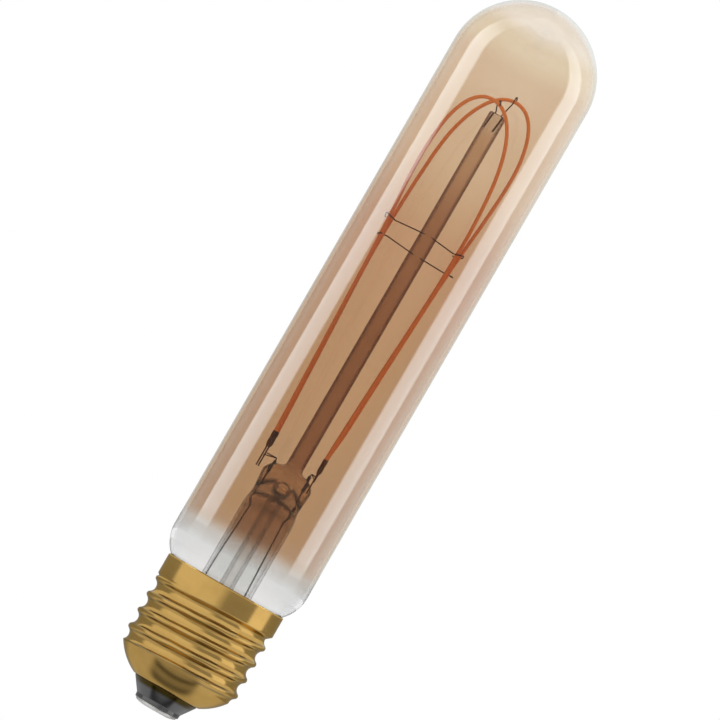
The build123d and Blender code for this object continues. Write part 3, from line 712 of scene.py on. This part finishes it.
def oval(width, depth, z, middle=0.0):
    """Ring of points; z is a height, or a function of the sideways place."""
    ring = []
    for k in range(stem_around):
        angle = 2 * math.pi * k / stem_around
        x = width * math.cos(angle)
        ring.append((x, middle + depth * math.sin(angle), z(x) if callable(z) else z))
    return ring


def hoop(radius, z, middle=0.0):
    """Round ring of points."""
    return oval(radius, radius, z, middle)


def tube_rings(radius, low, high, count):
    """Round rings along a straight tube."""
    return [hoop(radius, z) for z in np.linspace(low, high, count)]


def part_way(start, end, share):
    """Number part of the way from start to end."""
    return start + (end - start) * share


def arch_height(x):
    """Underside of the press, a flat arch over the hollow."""
    return press_bottom + hollow_arch - 2 * hollow_arch * (x / flare_radius) ** 2


def fold_share(x, z):
    """How far a place lies under the pinched fold, which climbs to the blow hole from both sides."""
    away = abs(x)
    if away > fold_inner:
        edge = fold_foot + (fold_head - fold_foot) * (fold_outer - away) / (fold_outer - fold_inner)
    else:
        edge = fold_head + fold_crown * (1 - (away / fold_inner) ** 2)
    share = np.clip((edge - z) / (2 * fold_width) + 0.5, 0.0, 1.0)
    fade = np.clip((z - flare_top - 1.0 * mm) / (2.5 * mm), 0.0, 1.0)
    return share * share * (3 - 2 * share) * fade


def arc_share(count):
    """Even steps from 0 to a quarter turn."""
    return [math.pi / 2 * k / count for k in range(count + 1)]


def trumpet_rings(arc):
    """Rings along one face of the trumpet, from the tube out to its rim."""
    end = math.acos((trumpet_middle - trumpet_reach) / arc)
    made = []
    for k in range(1, trumpet_steps + 1):
        a = end * k / trumpet_steps
        made.append(hoop(trumpet_middle - arc * math.cos(a), flare_bend - arc * math.sin(a)))
    return made


rings = [[(0, 0, pump_low.z)]]
for a in arc_share(8):
    tip_radius = pump_radius - pump_tip_round * (1 - math.sin(a))
    rings.append(hoop(tip_radius, pump_low.z + pump_tip_round * (1 - math.cos(a))))
rings += tube_rings(pump_radius, pump_low.z + 2 * pump_tip_round, press_bottom - hollow_arch, 14)
for a in arc_share(6):
    out = pump_swell * (1 - math.cos(a))
    drop = pump_swell * (1 - math.sin(a))
    width, depth = pump_radius + out, pump_radius + out * pump_swell_flat
    rings.append(oval(width, depth, lambda x: arch_height(x) - drop))
for share in np.linspace(0.1, 1.0, 10):
    width = pump_radius + pump_swell + (hollow_width - pump_radius - pump_swell) * share
    depth = pump_radius + pump_swell_deep + (hollow_depth - pump_radius - pump_swell_deep) * share
    rings.append(oval(width, depth, lambda x: arch_height(x) - roof_drop * share**roof_curve))
for share in np.linspace(1.0, 0.0, 16)[1:]:
    narrow = math.sin(share * math.pi / 2) ** hollow_curve
    width = part_way(flare_bore, hollow_width, narrow)
    depth = part_way(flare_bore, hollow_depth, narrow)
    rings.append(oval(width, depth, lambda x: part_way(flare_top, arch_height(x) - roof_drop, share)))
rings += tube_rings(flare_bore, flare_top - 1.5 * mm, flare_bend, 8)
rings += trumpet_rings(trumpet_arc + flare_wall)
rings += trumpet_rings(trumpet_arc)[::-1]
rings += tube_rings(flare_radius, flare_bend, flare_top, 10)
for z in np.linspace(flare_top, press_top, 110)[1:]:
    width, depth = smooth_between(press_sections, z)
    ring = []
    for x, y, up in oval(width, depth, z):
        lift = fold_depth * fold_share(x, up) * min(1.0, abs(y) / depth * fold_spread) ** 2
        ring.append((x, y + math.copysign(lift, y), up))
    rings.append(ring)
for a in arc_share(8)[1:]:
    blend = 1 - math.sin(a)
    width = part_way(post_radius, collar_width, blend)
    depth = part_way(post_radius, collar_depth, blend)
    rings.append(oval(width, depth, press_top + post_fillet * (1 - math.cos(a))))
rings += tube_rings(post_radius, press_top + 2 * post_fillet, post_high.z - 2 * post_edge, 40)
for a in arc_share(8):
    reach = post_radius - post_edge * (1 - math.cos(a))
    rings.append(hoop(reach, post_high.z - post_edge + post_edge * math.sin(a)))
rings.append([(0, 0, post_high.z)])
stem = ring_piece("glass_stem", rings)

bore_rings = [[(0, 0, pump_low.z + pump_radius)]]
bore_rings += tube_rings(pump_bore, pump_low.z + pump_radius, blow_hole_height - 1.7 * mm, 20)
for a in np.linspace(-0.9, math.pi / 2 - 0.06, 26):
    up = blow_hole_height + blow_hole_radius * math.sin(a)
    bore_rings.append(hoop(blow_hole_radius * math.cos(a), up, -blow_hole_offset))
bore_rings.append([(0, -blow_hole_offset, blow_hole_height + blow_hole_radius)])
bore = ring_piece("pump_bore", bore_rings)
cut = stem.modifiers.new("bore", "BOOLEAN")
cut.operation = "DIFFERENCE"
cut.solver = "EXACT"
cut.object = bore
bored = made_mesh(stem)
stem.modifiers.clear()
stem.data = bored
bpy.data.objects.remove(bore)
shade(stem)


def height_group():
    """Shared effect: share of the way up between two heights, with a cloudy edge."""
    inputs = {"Vector": "Vector", "Low": "Float", "High": "Float", "Cloud": "Float"}
    tree, given, out = new_tree("height_share", "ShaderNodeTree", inputs, {"Share": "Float"})
    drift = (noise(given["Vector"], scale=70.0) - 0.5) * given["Cloud"]
    moved = axes(given["Vector"])[2] + drift
    set_inputs(out, {"Share": spread(moved, given["Low"], given["High"])})
    return tree


height_share = height_group()


def rise(place, low, high, cloud):
    """Share of the way up between two heights at a place."""
    inputs = {"Vector": place, "Low": low, "High": high, "Cloud": cloud}
    return flow(place.tree, "ShaderNodeGroup", inputs, node_tree=height_share)


def color_along(share, stops, ease="LINEAR"):
    """Colour along a ramp, from stops of (share, colour)."""
    node = add_node(share.tree, "ShaderNodeValToRGB", {0: share})
    node.color_ramp.interpolation = ease
    elements = node.color_ramp.elements
    while len(elements) < len(stops):
        elements.new(0.5)
    for element, (position, color) in zip(elements, stops):
        element.position = position
        element.color = (*color, 1)
    return Flow(node.outputs[0])


def glass_material(name, low, high, stops, ior, cloud):
    """Clear glass whose tint follows the height, from stops of (height in millimetres, colour)."""
    made, shader, place = new_material(name)
    shares = [((height * mm - low) / (high - low), color) for height, color in stops]
    tint = color_along(rise(place, low, high, cloud), shares, "EASE")
    set_sockets(shader, Base_Color=tint, Roughness=0.0, IOR=ior, Transmission_Weight=1.0)
    return made, shader, place, tint


stem_tints = [
    (34.0, (0.905, 0.91, 0.9)),
    (42.0, (0.69, 0.58, 0.51)),
    (47.0, (0.71, 0.585, 0.5)),
    (50.0, (0.6, 0.44, 0.32)),
    (53.0, (0.72, 0.54, 0.4)),
    (56.0, (0.54, 0.35, 0.245)),
    (60.0, (0.52, 0.33, 0.225)),
    (85.0, (0.52, 0.33, 0.225)),
    (110.0, (0.6, 0.42, 0.31)),
    (131.0, (0.8, 0.64, 0.51)),
    (135.0, (0.9, 0.82, 0.74)),
]
stem_glass, shader, place, tint = glass_material(
    "stem_glass", flare_low.z, post_high.z, stem_tints, stem_ior, cloud=1.0 * mm
)
pump_tint = (0.94, 0.92, 0.9)
# Painted shade in the press: dark wings along the pinched fold, a dark lobe under the blow hole and a rippled
# dark seam.
wing_slope = 0.72
wing_top = 51.5 * mm
wing_width = 1.0 * mm
wing_start = fold_inner - 0.6 * mm
lobe_middle = (0, 0, 49.5 * mm)
lobe_stretch = (450, 0, 1000)
lobe_radius = 1.15
seam_height = 48.3 * mm
seam_fall = -0.1
seam_width = 1.1 * mm
fold_shade_color = (0.07, 0.018, 0.004)
fold_shade_strength = 0.95
hole_clearing = 0.95
amber_rise = (35.0 * mm, 42.0 * mm)
# Colours of the painted shade at the stem's outline, in its clear and its amber parts.
clear_edge_shade = (0.03, 0.03, 0.028)
amber_edge_shade = (0.09, 0.012, 0.0006)
x, _, z = axes(place)
away = abs(x)
in_pump = (from_axis(place) < pump_radius + 0.1 * mm) * (z < press_bottom)
tint = color_between(in_pump, tint, pump_tint)

# Painted shade: these dark marks stand in for the dark bands that refraction makes in the pinched glass.
wing = wing_top - larger(away - fold_inner, 0.0) * wing_slope
fold_shade = soft_mask(abs(wing - z), wing_width) * (away > wing_start)
lobe = vector("LENGTH", vector("MULTIPLY", vector("SUBTRACT", place, lobe_middle), lobe_stretch))
fold_shade = larger(fold_shade, soft_mask(lobe, lobe_radius))
ripples = spread(noise(place, scale=900.0, detail=3.0), 0.4, 0.65)
seam = soft_mask(abs(z - seam_height - away * seam_fall), seam_width) * ripples
tint = color_between(larger(fold_shade, seam) * fold_shade_strength, tint, fold_shade_color)

# Painted shade: the glass darkens towards its outline by facing angle, most on the rod and the pump tube, for
# the dark edges that refraction gives. It is kept out of the blow hole.
facing = flow(place.tree, "ShaderNodeLayerWeight", {"Blend": 0.5}, "Facing")
on_rod = larger(spread(z, press_top, press_top + 1.5 * mm), in_pump)
edge_start = between(on_rod, 0.45, 0.06)
edge_end = between(on_rod, 0.9, 0.42)
edge_most = between(in_pump, 0.97, 0.6)
edge = spread(facing, edge_start, edge_end, 0.0, edge_most, "SMOOTHSTEP")
hole = vector("LENGTH", vector("SUBTRACT", place, (0, -blow_hole_offset, blow_hole_height)))
hole = (hole < blow_hole_radius + 0.05 * mm) * (z > blow_hole_height - 0.3 * mm)
edge = edge * (1.0 - hole * hole_clearing)
edge_shade_color = color_between(spread(z, *amber_rise), clear_edge_shade, amber_edge_shade)
set_sockets(shader, Base_Color=color_between(edge, tint, edge_shade_color), Specular_IOR_Level=0.02)
smoke = flow(place.tree, "ShaderNodeVolumeAbsorption", {"Color": (0.55, 0.47, 0.42, 1), "Density": 120.0})
set_inputs(place.tree.nodes["Material Output"], {"Volume": smoke})
stem.data.materials.clear()
stem.data.materials.append(stem_glass)
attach(stem, "root")
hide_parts("stem_flare", "stem_post", "exhaust_tube")


# Wires
# Copper-coated lead wires sealed through the press, thick nickel leads welded to their ends, thin
# ties from those to the filaments, and molybdenum supports and hooks pushed into the soft post.
lead_copper, shader, place, color = metal_material(
    "copper_lead", (0.24, 0.035, 0.01), (0.15, 0.022, 0.007), (0.4, 0.6), cloud_scale=500.0
)
bare_wire = (0.06, 0.06, 0.065)
coated = rise(place, low=36.0 * mm, high=41.0 * mm, cloud=1.0 * mm)
set_sockets(shader, Base_Color=color_between(coated, bare_wire, color), Metallic=0.6)
dress(lead_copper, "lead_wire_left", "lead_wire_right")

nickel, shader, *_ = metal_material(
    "dull_nickel", (0.12, 0.028, 0.007), (0.06, 0.014, 0.004), (0.45, 0.65)
)
set_sockets(shader, Metallic=0.0, Specular_IOR_Level=0.01)
corners = [f"{side}_{row}" for side in ("left", "right") for row in ("front", "rear")]
dress(nickel, "inner_lead_left", "inner_lead_right", *["filament_tie_" + corner for corner in corners])

molybdenum, shader, *_ = metal_material(
    "dark_molybdenum", (0.14, 0.05, 0.014), (0.08, 0.028, 0.008), (0.4, 0.6)
)
set_sockets(shader, Metallic=0.1, Specular_IOR_Level=0.04)
supports = [f"support_{level}_{side}" for level in ("upper", "lower") for side in ("left", "right")]
dress(molybdenum, *supports, "top_hook_front", "top_hook_rear")


# Filaments
# Two flexible strips of tiny light-emitting chips under an orange phosphor coating, drawn as round
# strands. Each rises on the left, loops over the post's end and comes down on the right.
filament_low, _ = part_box("filament_front")
filament_radius = 0.38 * mm
filament_end = filament_low.z
terminal_top = filament_end + 1.0 * mm
leg_low = terminal_top + 18 * mm
leg_mid = 95.5 * mm
held_low = 102.5 * mm
held_high = 111.5 * mm
leg_top = 117.5 * mm
leg_heights = (leg_low, leg_mid, held_low, held_high, leg_top)
crown_height = 18.0 * mm
crown_depth = 2.8 * mm
crown_fullness = 2.2
chip_pitch = 0.9 * mm
chip_share = 0.12
grain_share = 0.8
lump_scale = 420.0


def crown_points(middle, width, lean, top, side):
    """Points over the top of a loop: a full, leaning half oval that tips to one side."""
    points = []
    for angle in (169, 147, 124, 101, 79, 56, 33, 11):
        across = math.cos(math.radians(angle))
        up = math.sin(math.radians(angle)) ** (2 / crown_fullness)
        wide = math.copysign(abs(across) ** (2 / crown_fullness), across)
        climb = crown_height * up
        x = middle + lean * climb + width / 2 * wide
        points.append((x, side * crown_depth * (0.62 + 0.38 * up), top - crown_height + climb))
    return points


def leg_points(end, places, low_bend=()):
    """Points up one leg, from its metal end; sideways places are in millimetres."""
    lower = [(*end, filament_end), (*end, terminal_top + 1.0 * mm), *low_bend]
    upper = [(*place, z) for place, z in zip(places, leg_heights)]
    return [(x * mm, y * mm, z) for x, y, z in lower + upper]


def strand_curve(name, left, crown, right):
    """Smooth curve through one loop's legs and crown."""
    points = left + crown + right[::-1]
    curve = bpy.data.curves.new(name, "CURVE")
    curve.dimensions = "3D"
    curve.resolution_u = 24
    spline = curve.splines.new("NURBS")
    spline.points.add(len(points) - 1)
    for control, point in zip(spline.points, points):
        control.co = (*point, 1)
    spline.order_u = 3
    spline.use_endpoint_u = True
    return curve


def strand_tree():
    """Tree that draws a round coated strand along a curve and keeps the length run as an attribute."""
    inputs = {"Path": "Geometry", "Radius": "Float", "Steps": "Int", "Sides": "Int", "Lump": "Float"}
    inputs["Material"] = "Material"
    tree, size, out = new_tree("coated_strand", "GeometryNodeTree", inputs, {"Strand": "Geometry"})
    even = flow(tree, "GeometryNodeResampleCurve", {"Curve": size["Path"], "Count": size["Steps"]})
    run = flow(tree, "GeometryNodeSplineParameter", output="Length")
    stored = {"Geometry": even, "Name": "run", "Value": run}
    kept = flow(tree, "GeometryNodeStoreNamedAttribute", stored, data_type="FLOAT", domain="POINT")
    lumps = flow(tree, "ShaderNodeTexNoise", {"Scale": lump_scale, "Detail": 1.0})
    girth = calc("ADD", 1.0, (lumps - 0.5) * size["Lump"])
    uneven = flow(tree, "GeometryNodeSetCurveRadius", {"Curve": kept, "Radius": girth})
    ring_sizes = {"Resolution": size["Sides"], "Radius": size["Radius"]}
    ring = flow(tree, "GeometryNodeCurvePrimitiveCircle", ring_sizes)
    radius = flow(tree, "GeometryNodeInputRadius")
    sweep = {"Curve": uneven, "Profile Curve": ring, "Scale": radius, "Fill Caps": True}
    finish_tree(flow(tree, "GeometryNodeCurveToMesh", sweep), size["Material"], out)
    return tree


phosphor, shader, place = new_material("orange_phosphor")
run = flow(place.tree, "ShaderNodeAttribute", output="Fac", attribute_name="run")
chip_wave = calc("SINE", run * (2 * math.pi / chip_pitch))
grain = chip_wave * chip_share + noise(place, scale=2600.0, detail=4.0) * grain_share
# The faint orange emission is painted light: the filaments are not lit, and the glow only brightens the
# coating.
set_sockets(
    shader,
    Base_Color=color_between(grain, (0.9, 0.26, 0.06), (0.98, 0.35, 0.09)),
    Roughness=0.5,
    Emission_Color=(1.0, 0.3, 0.06, 1),
    Emission_Strength=0.08,
)
bump(shader, grain, strength=0.25, distance=0.02 * mm)

front_curve = strand_curve(
    "front_route",
    leg_points((-6.95, -0.6), [(-7.5, -0.55), (-8.05, -0.5), (-8.3, -0.5), (-8.8, -0.75), (-9.3, -1.3)]),
    crown_points(-1.35 * mm, 15.7 * mm, -0.06, post_high.z + 2.35 * mm, -1),
    leg_points((4.6, -1.6), [(5.4, -1.3), (6.45, -0.55), (6.7, -0.5), (6.9, -0.75), (6.75, -1.3)]),
)
rear_curve = strand_curve(
    "rear_route",
    leg_points((-6.5, 0.6), [(-7.2, 0.55), (-7.95, 0.5), (-8.1, 0.5), (-7.95, 0.75), (-7.7, 1.3)]),
    crown_points(0.65 * mm, 16.3 * mm, 0.07, post_high.z + 4.1 * mm, 1),
    leg_points(
        (4.75, 0.0),
        [(5.85, 0.2), (6.65, 0.45), (7.0, 0.5), (7.75, 0.75), (8.35, 1.3)],
        low_bend=[(5.35, 0.05, terminal_top + 5 * mm)],
    ),
)
strand = strand_tree()
strand_sizes = {"Radius": filament_radius, "Steps": 720, "Sides": 20, "Lump": 0.06, "Material": phosphor}
for node, route in (("filament_front", front_curve), ("filament_rear", rear_curve)):
    piece = run_tree(node + "_coated", strand, strand_sizes, route)
    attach(piece, "root")
    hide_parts(node)


# Filament ends
# Dark metal sleeves, crimped onto each end of the filaments. Each runs down into a thin tail that a
# tie is welded to.
dark_sleeve, shader, *_ = metal_material(
    "dark_sleeve", (0.15, 0.05, 0.018), (0.08, 0.028, 0.01), (0.4, 0.6),
    line_scale=3500.0, cloud_scale=800.0, relief=0.01 * mm,
)
set_sockets(shader, Metallic=0.0, Specular_IOR_Level=0.02)
sleeve_around = 24
sleeve_length = 3.4 * mm
sleeve_grip = 1.0 * mm
tail_radius = 0.15 * mm
for node in ["filament_terminal_" + corner for corner in corners]:
    low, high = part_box(node)
    middle = (low + high) / 2
    sleeve_radius = (high.x - low.x) / 2
    sleeve_low = high.z - sleeve_length
    outline = [
        (0, low.z),
        (tail_radius * 0.7, low.z),
        (tail_radius, low.z + 0.08 * mm),
        (tail_radius, sleeve_low - 0.25 * mm),
        (tail_radius * 1.5, sleeve_low),
        (sleeve_radius * 0.8, sleeve_low + 0.3 * mm),
        (sleeve_radius * 0.97, sleeve_low + 0.7 * mm),
        (sleeve_radius, sleeve_low + 1.3 * mm),
        (sleeve_radius * 0.92, sleeve_low + 1.7 * mm),
        (sleeve_radius * 0.92, sleeve_low + 2.1 * mm),
        (sleeve_radius, sleeve_low + 2.5 * mm),
        (sleeve_radius, high.z - 0.08 * mm),
        (sleeve_radius - 0.06 * mm, high.z),
        (filament_radius, high.z),
        (filament_radius, high.z - sleeve_grip),
        (0, high.z - sleeve_grip),
    ]
    sleeve = ring_piece(node + "_crimped", turned_rings(outline, sleeve_around, (middle.x, middle.y)))
    shade(sleeve, 50)
    sleeve.data.materials.append(dark_sleeve)
    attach(sleeve, "root")
    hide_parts(node)


# Glass envelope
# Blown tube with a round dome, drawn in at the shoulder to the neck that stands in the cap. It is
# clear at the neck, deep amber over the lower tube and paler towards the dome.
envelope_low, envelope_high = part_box("glass_envelope")
tube_radius = envelope_high.x
envelope_wall = 0.8 * mm
envelope_ior = 1.47
slant_tint = 1.6
shoulder_arc = 8.2 * mm
shoulder_height = 34.62 * mm
neck_radius = 11.3 * mm
neck_fillet = 3.0 * mm
shoulder_turn = math.acos(1 - (tube_radius - neck_radius) / (shoulder_arc + neck_fillet))
neck_height = shoulder_height - (shoulder_arc + neck_fillet) * math.sin(shoulder_turn)
dome_height = envelope_high.z - tube_radius


def envelope_outline(inset):
    """One face of the wall, from the neck's end up to the dome's crown."""
    points = [(neck_radius - inset, z) for z in np.linspace(envelope_low.z, neck_height, 6)[:-1]]
    for share in np.linspace(0, 1, 13):
        a = shoulder_turn * share
        across = neck_radius + neck_fillet * (1 - math.cos(a)) - inset
        points.append((across, neck_height + neck_fillet * math.sin(a)))
    for share in np.linspace(1, 0, 21)[1:]:
        a = shoulder_turn * share
        across = tube_radius - shoulder_arc * (1 - math.cos(a)) - inset
        points.append((across, shoulder_height - shoulder_arc * math.sin(a)))
    radius = tube_radius - inset
    for z in np.linspace(shoulder_height, dome_height, 40)[1:]:
        points.append((radius, z))
    for a in arc_share(44)[1:-1]:
        points.append((radius * math.cos(a), dome_height + radius * math.sin(a)))
    return points + [(0, dome_height + tube_radius - inset)]


outside = envelope_outline(0)
inside = envelope_outline(envelope_wall)
envelope = turned_piece("glass_envelope_blown", outside + inside[::-1])
mesh = bmesh.new()
mesh.from_mesh(envelope.data)
bmesh.ops.bridge_loops(mesh, edges=[e for e in mesh.edges if e.is_boundary])
bmesh.ops.recalc_face_normals(mesh, faces=mesh.faces)
mesh.to_mesh(envelope.data)
mesh.free()
shade(envelope)
amber_tints = [
    (29.0, (0.91, 0.913, 0.913)),
    (33.5, (0.85, 0.852, 0.85)),
    (36.5, (0.78, 0.757, 0.73)),
    (40.5, (0.67, 0.53, 0.4)),
    (44.0, (0.67, 0.515, 0.37)),
    (80.0, (0.694, 0.527, 0.374)),
    (105.0, (0.715, 0.54, 0.395)),
    (128.0, (0.787, 0.65, 0.505)),
    (145.0, (0.822, 0.705, 0.575)),
    (152.0, (0.875, 0.795, 0.675)),
    (157.0, (0.945, 0.9, 0.84)),
]
amber_glass, shader, place, tint = glass_material(
    "amber_glass", envelope_low.z, envelope_high.z, amber_tints, envelope_ior, cloud=2.0 * mm
)
straight = 1.0 - flow(place.tree, "ShaderNodeLayerWeight", {"Blend": 0.5}, "Facing")
slant = (1.0 - straight * straight) / envelope_ior**2
longer = calc("INVERSE_SQRT", 1.0 - slant) - 1.0
set_sockets(shader, Base_Color=color_between(longer * slant_tint, tint, vector("MULTIPLY", tint, tint)))
envelope.data.materials.append(amber_glass)
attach(envelope, "root")
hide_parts("glass_envelope")


# Cement
# Ring of grey-brown cement, pressed in as a paste between the glass neck and the rim and baked hard.
cement, *_ = cloudy_material(
    "baked_cement", (0.82, 0.8, 0.76), (0.66, 0.63, 0.58), (0.85, 0.95), scale=1500.0, relief=0.1 * mm
)
dress(cement, "cap_cement")


# Studio
# White surroundings, a pale floor, a tall round tent with a bright strip on each side of the glass,
# and a low cone-shaped drum of card round the cap. Tent and drum are seen in reflections only.
scene = bpy.context.scene
scene.view_settings.view_transform = "Standard"
scene.cycles.max_bounces = 40
scene.cycles.transmission_bounces = 36
scene.cycles.glossy_bounces = 16
floor_drop = 0.16
floor_size = 12.0


def ray_level(tree, scattered, mirrored, seen):
    """Brightness for scattered light, for reflections, and for what is seen straight or through glass."""
    path = tree.nodes.new("ShaderNodeLightPath").outputs
    kinds = ("Glossy", "Camera", "Transmission")
    glossy, straight, through = [Flow(path[f"Is {kind} Ray"]) for kind in kinds]
    return between(larger(straight, through), between(glossy, scattered, mirrored), seen)


world = bpy.data.worlds.new("white_studio")
world.use_nodes = True
scene.world = world
sky = world.node_tree.nodes["Background"]
sky_level = ray_level(world.node_tree, scattered=0.55, mirrored=0.85, seen=1.0)
set_sockets(sky, Color=white, Strength=sky_level)

bpy.ops.mesh.primitive_plane_add(size=floor_size, location=(0, 0, -floor_drop))
floor = bpy.context.object
floor.name = "studio_floor"
paper, shader, place = new_material("floor_paper")
set_sockets(
    shader,
    Base_Color=(0.9, 0.9, 0.9, 1),
    Roughness=0.9,
    Emission_Color=white,
    Emission_Strength=ray_level(place.tree, scattered=0.0, mirrored=0.1, seen=0.5),
)
floor.data.materials.append(paper)
floor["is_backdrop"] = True


def hide_from(thing, *rays):
    """Keep a thing out of the way of these kinds of ray."""
    for ray in rays:
        setattr(thing, "visible_" + ray, False)


def glow_card(panel, color):
    """Plain glowing card, seen in reflections only; gives its glow and the place on it."""
    made = bpy.data.materials.new(panel.name)
    made.use_nodes = True
    tree = made.node_tree
    tree.nodes.remove(tree.nodes["Principled BSDF"])
    glow = add_node(tree, "ShaderNodeEmission", {"Color": color})
    set_inputs(tree.nodes["Material Output"], {"Surface": Flow(glow.outputs[0])})
    panel.data.materials.append(made)
    hide_from(panel, "camera", "diffuse", "transmission", "shadow")
    panel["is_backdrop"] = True
    return glow, axes(flow(tree, "ShaderNodeTexCoord", output="Object"))


def level_along(share, stops):
    """Brightness along a ramp, from stops of (share, level)."""
    return color_along(share, [(position, (level, level, level)) for position, level in stops])


def painted_level(x, y, stops):
    """Brightness round a card, from stops of (degrees from the camera's side, level)."""
    around = calc("ARCTAN2", x, y * -1.0) / (2 * math.pi) + 0.5
    return level_along(around, [(degrees / 360 + 0.5, level) for degrees, level in stops])


drum_radius = 0.14
drum_top_radius = 0.05
drum_low = -0.06
drum_high = 0.031
drum_mouth = 0.016
drum_cards = [
    (-90, 0.36), (-83, 0.93), (-4, 0.9), (12, 0.37), (59, 0.37), (63, 1.13), (94, 1.13), (98, 0.36)
]
drum_lid = 0.85
lid_edge = 0.0005
side_levels = (0.64, 0.7)
stripe_half_widths = (0.018, 0.04)
stripe_edge = 0.02
bottom_fade = (drum_low + 0.001, -0.015)
drum_stripes = [
    (-60, 0.5), (-36, 0.42), (-27, 0.1), (-22, 0.1), (-13, 0.31), (-4, 0.29), (6, 0.15), (18, 0.15), (34, 0.6)
]
drum_rings = [[(0, 0, drum_low)]]
for radius, z in ((drum_radius, drum_low), (drum_top_radius, drum_high), (drum_mouth, drum_high)):
    drum_rings.append(hoop(radius, z))
glow, (x, y, z) = glow_card(ring_piece("cap_drum", drum_rings), white)
cards = between(z > drum_high - lid_edge, painted_level(x, y, drum_cards), drum_lid)
deep = spread(y, -drum_radius, drum_radius)
stripes = level_along(deep, [(0.5 + near * mm / (2 * drum_radius), level) for near, level in drum_stripes])
sides = spread(x, -0.03, 0.06, *side_levels)
half_width = spread(y, 0.02, -0.03, *stripe_half_widths)
beside = spread((abs(x) - half_width) / stripe_edge, 0.0, 1.0, ease="SMOOTHSTEP")
at_bottom = spread(z, *bottom_fade, 1.0, 0.0)
set_sockets(glow, Strength=between(at_bottom, cards, between(beside, stripes, sides)))

tent_radius = 0.30
tent_low = -0.155
tent_high = 1.0
tent_color = (0.82, 0.95, 1.0, 1)
tent_cards = [
    (-180, 0.7), (-160, 0.6), (-150, 0.3), (-136, 0.4), (-124, 1.1), (-103, 1.2), (-100, 6.5), (-74, 6.5),
    (-70, 0.4), (-55, 0.12), (55, 0.12), (73, 0.4), (77, 6.5), (102, 6.5), (106, 2.4), (128, 1.9), (146, 0.6),
    (165, 0.75),
]
fade_start = 0.2
fade_ends = (0.42, 0.7)
fade_levels = (1.12, 0.17)
foot_fade = (0.034, 0.0385)
foot_levels = (0.12, 1.0)
tent_rings = [hoop(tent_radius, tent_low), hoop(tent_radius, tent_high)]
glow, (x, y, z) = glow_card(ring_piece("tube_tent", tent_rings), tent_color)
fade = spread(z, fade_start, between(x > 0.0, *fade_ends), *fade_levels)
foot = spread(z, *foot_fade, *foot_levels)
set_sockets(glow, Strength=painted_level(x, y, tent_cards) * (fade * foot))

key = bpy.data.lights.new("overhead_softbox", "AREA")
key.shape = "DISK"
key.size = 0.7
key.energy = 3.0
key_lamp = link_piece("overhead_softbox", key)
key_lamp.location = (-0.35, -0.35, 0.9)
key_lamp.rotation_euler = (Vector((0, 0, 0.05)) - key_lamp.location).to_track_quat("-Z", "Y").to_euler()
hide_from(key_lamp, "camera", "glossy", "transmission")

# Camera, level with the lamp's middle and rolled, so that the lamp leans to the right.
camera_lens = 1500.0
sensor_width = 36.0
shown_width = 0.1434
camera_distance = shown_width / sensor_width * camera_lens
camera_aim = Vector((0.56 * mm, 0, 81.0 * mm))
lean = math.radians(30)
camera = bpy.data.cameras.new("camera")
camera.lens = camera_lens
camera.clip_end = 100.0
camera_object = link_piece("camera", camera)
image_right = Vector((math.cos(lean), 0, math.sin(lean)))
image_up = Vector((-math.sin(lean), 0, math.cos(lean)))
toward_camera = Vector((0, -1, 0))
turn = Matrix((image_right, image_up, toward_camera)).transposed()
camera_object.matrix_world = Matrix.Translation(camera_aim + toward_camera * camera_distance) @ turn.to_4x4()
scene.camera = camera_object

low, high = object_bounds()
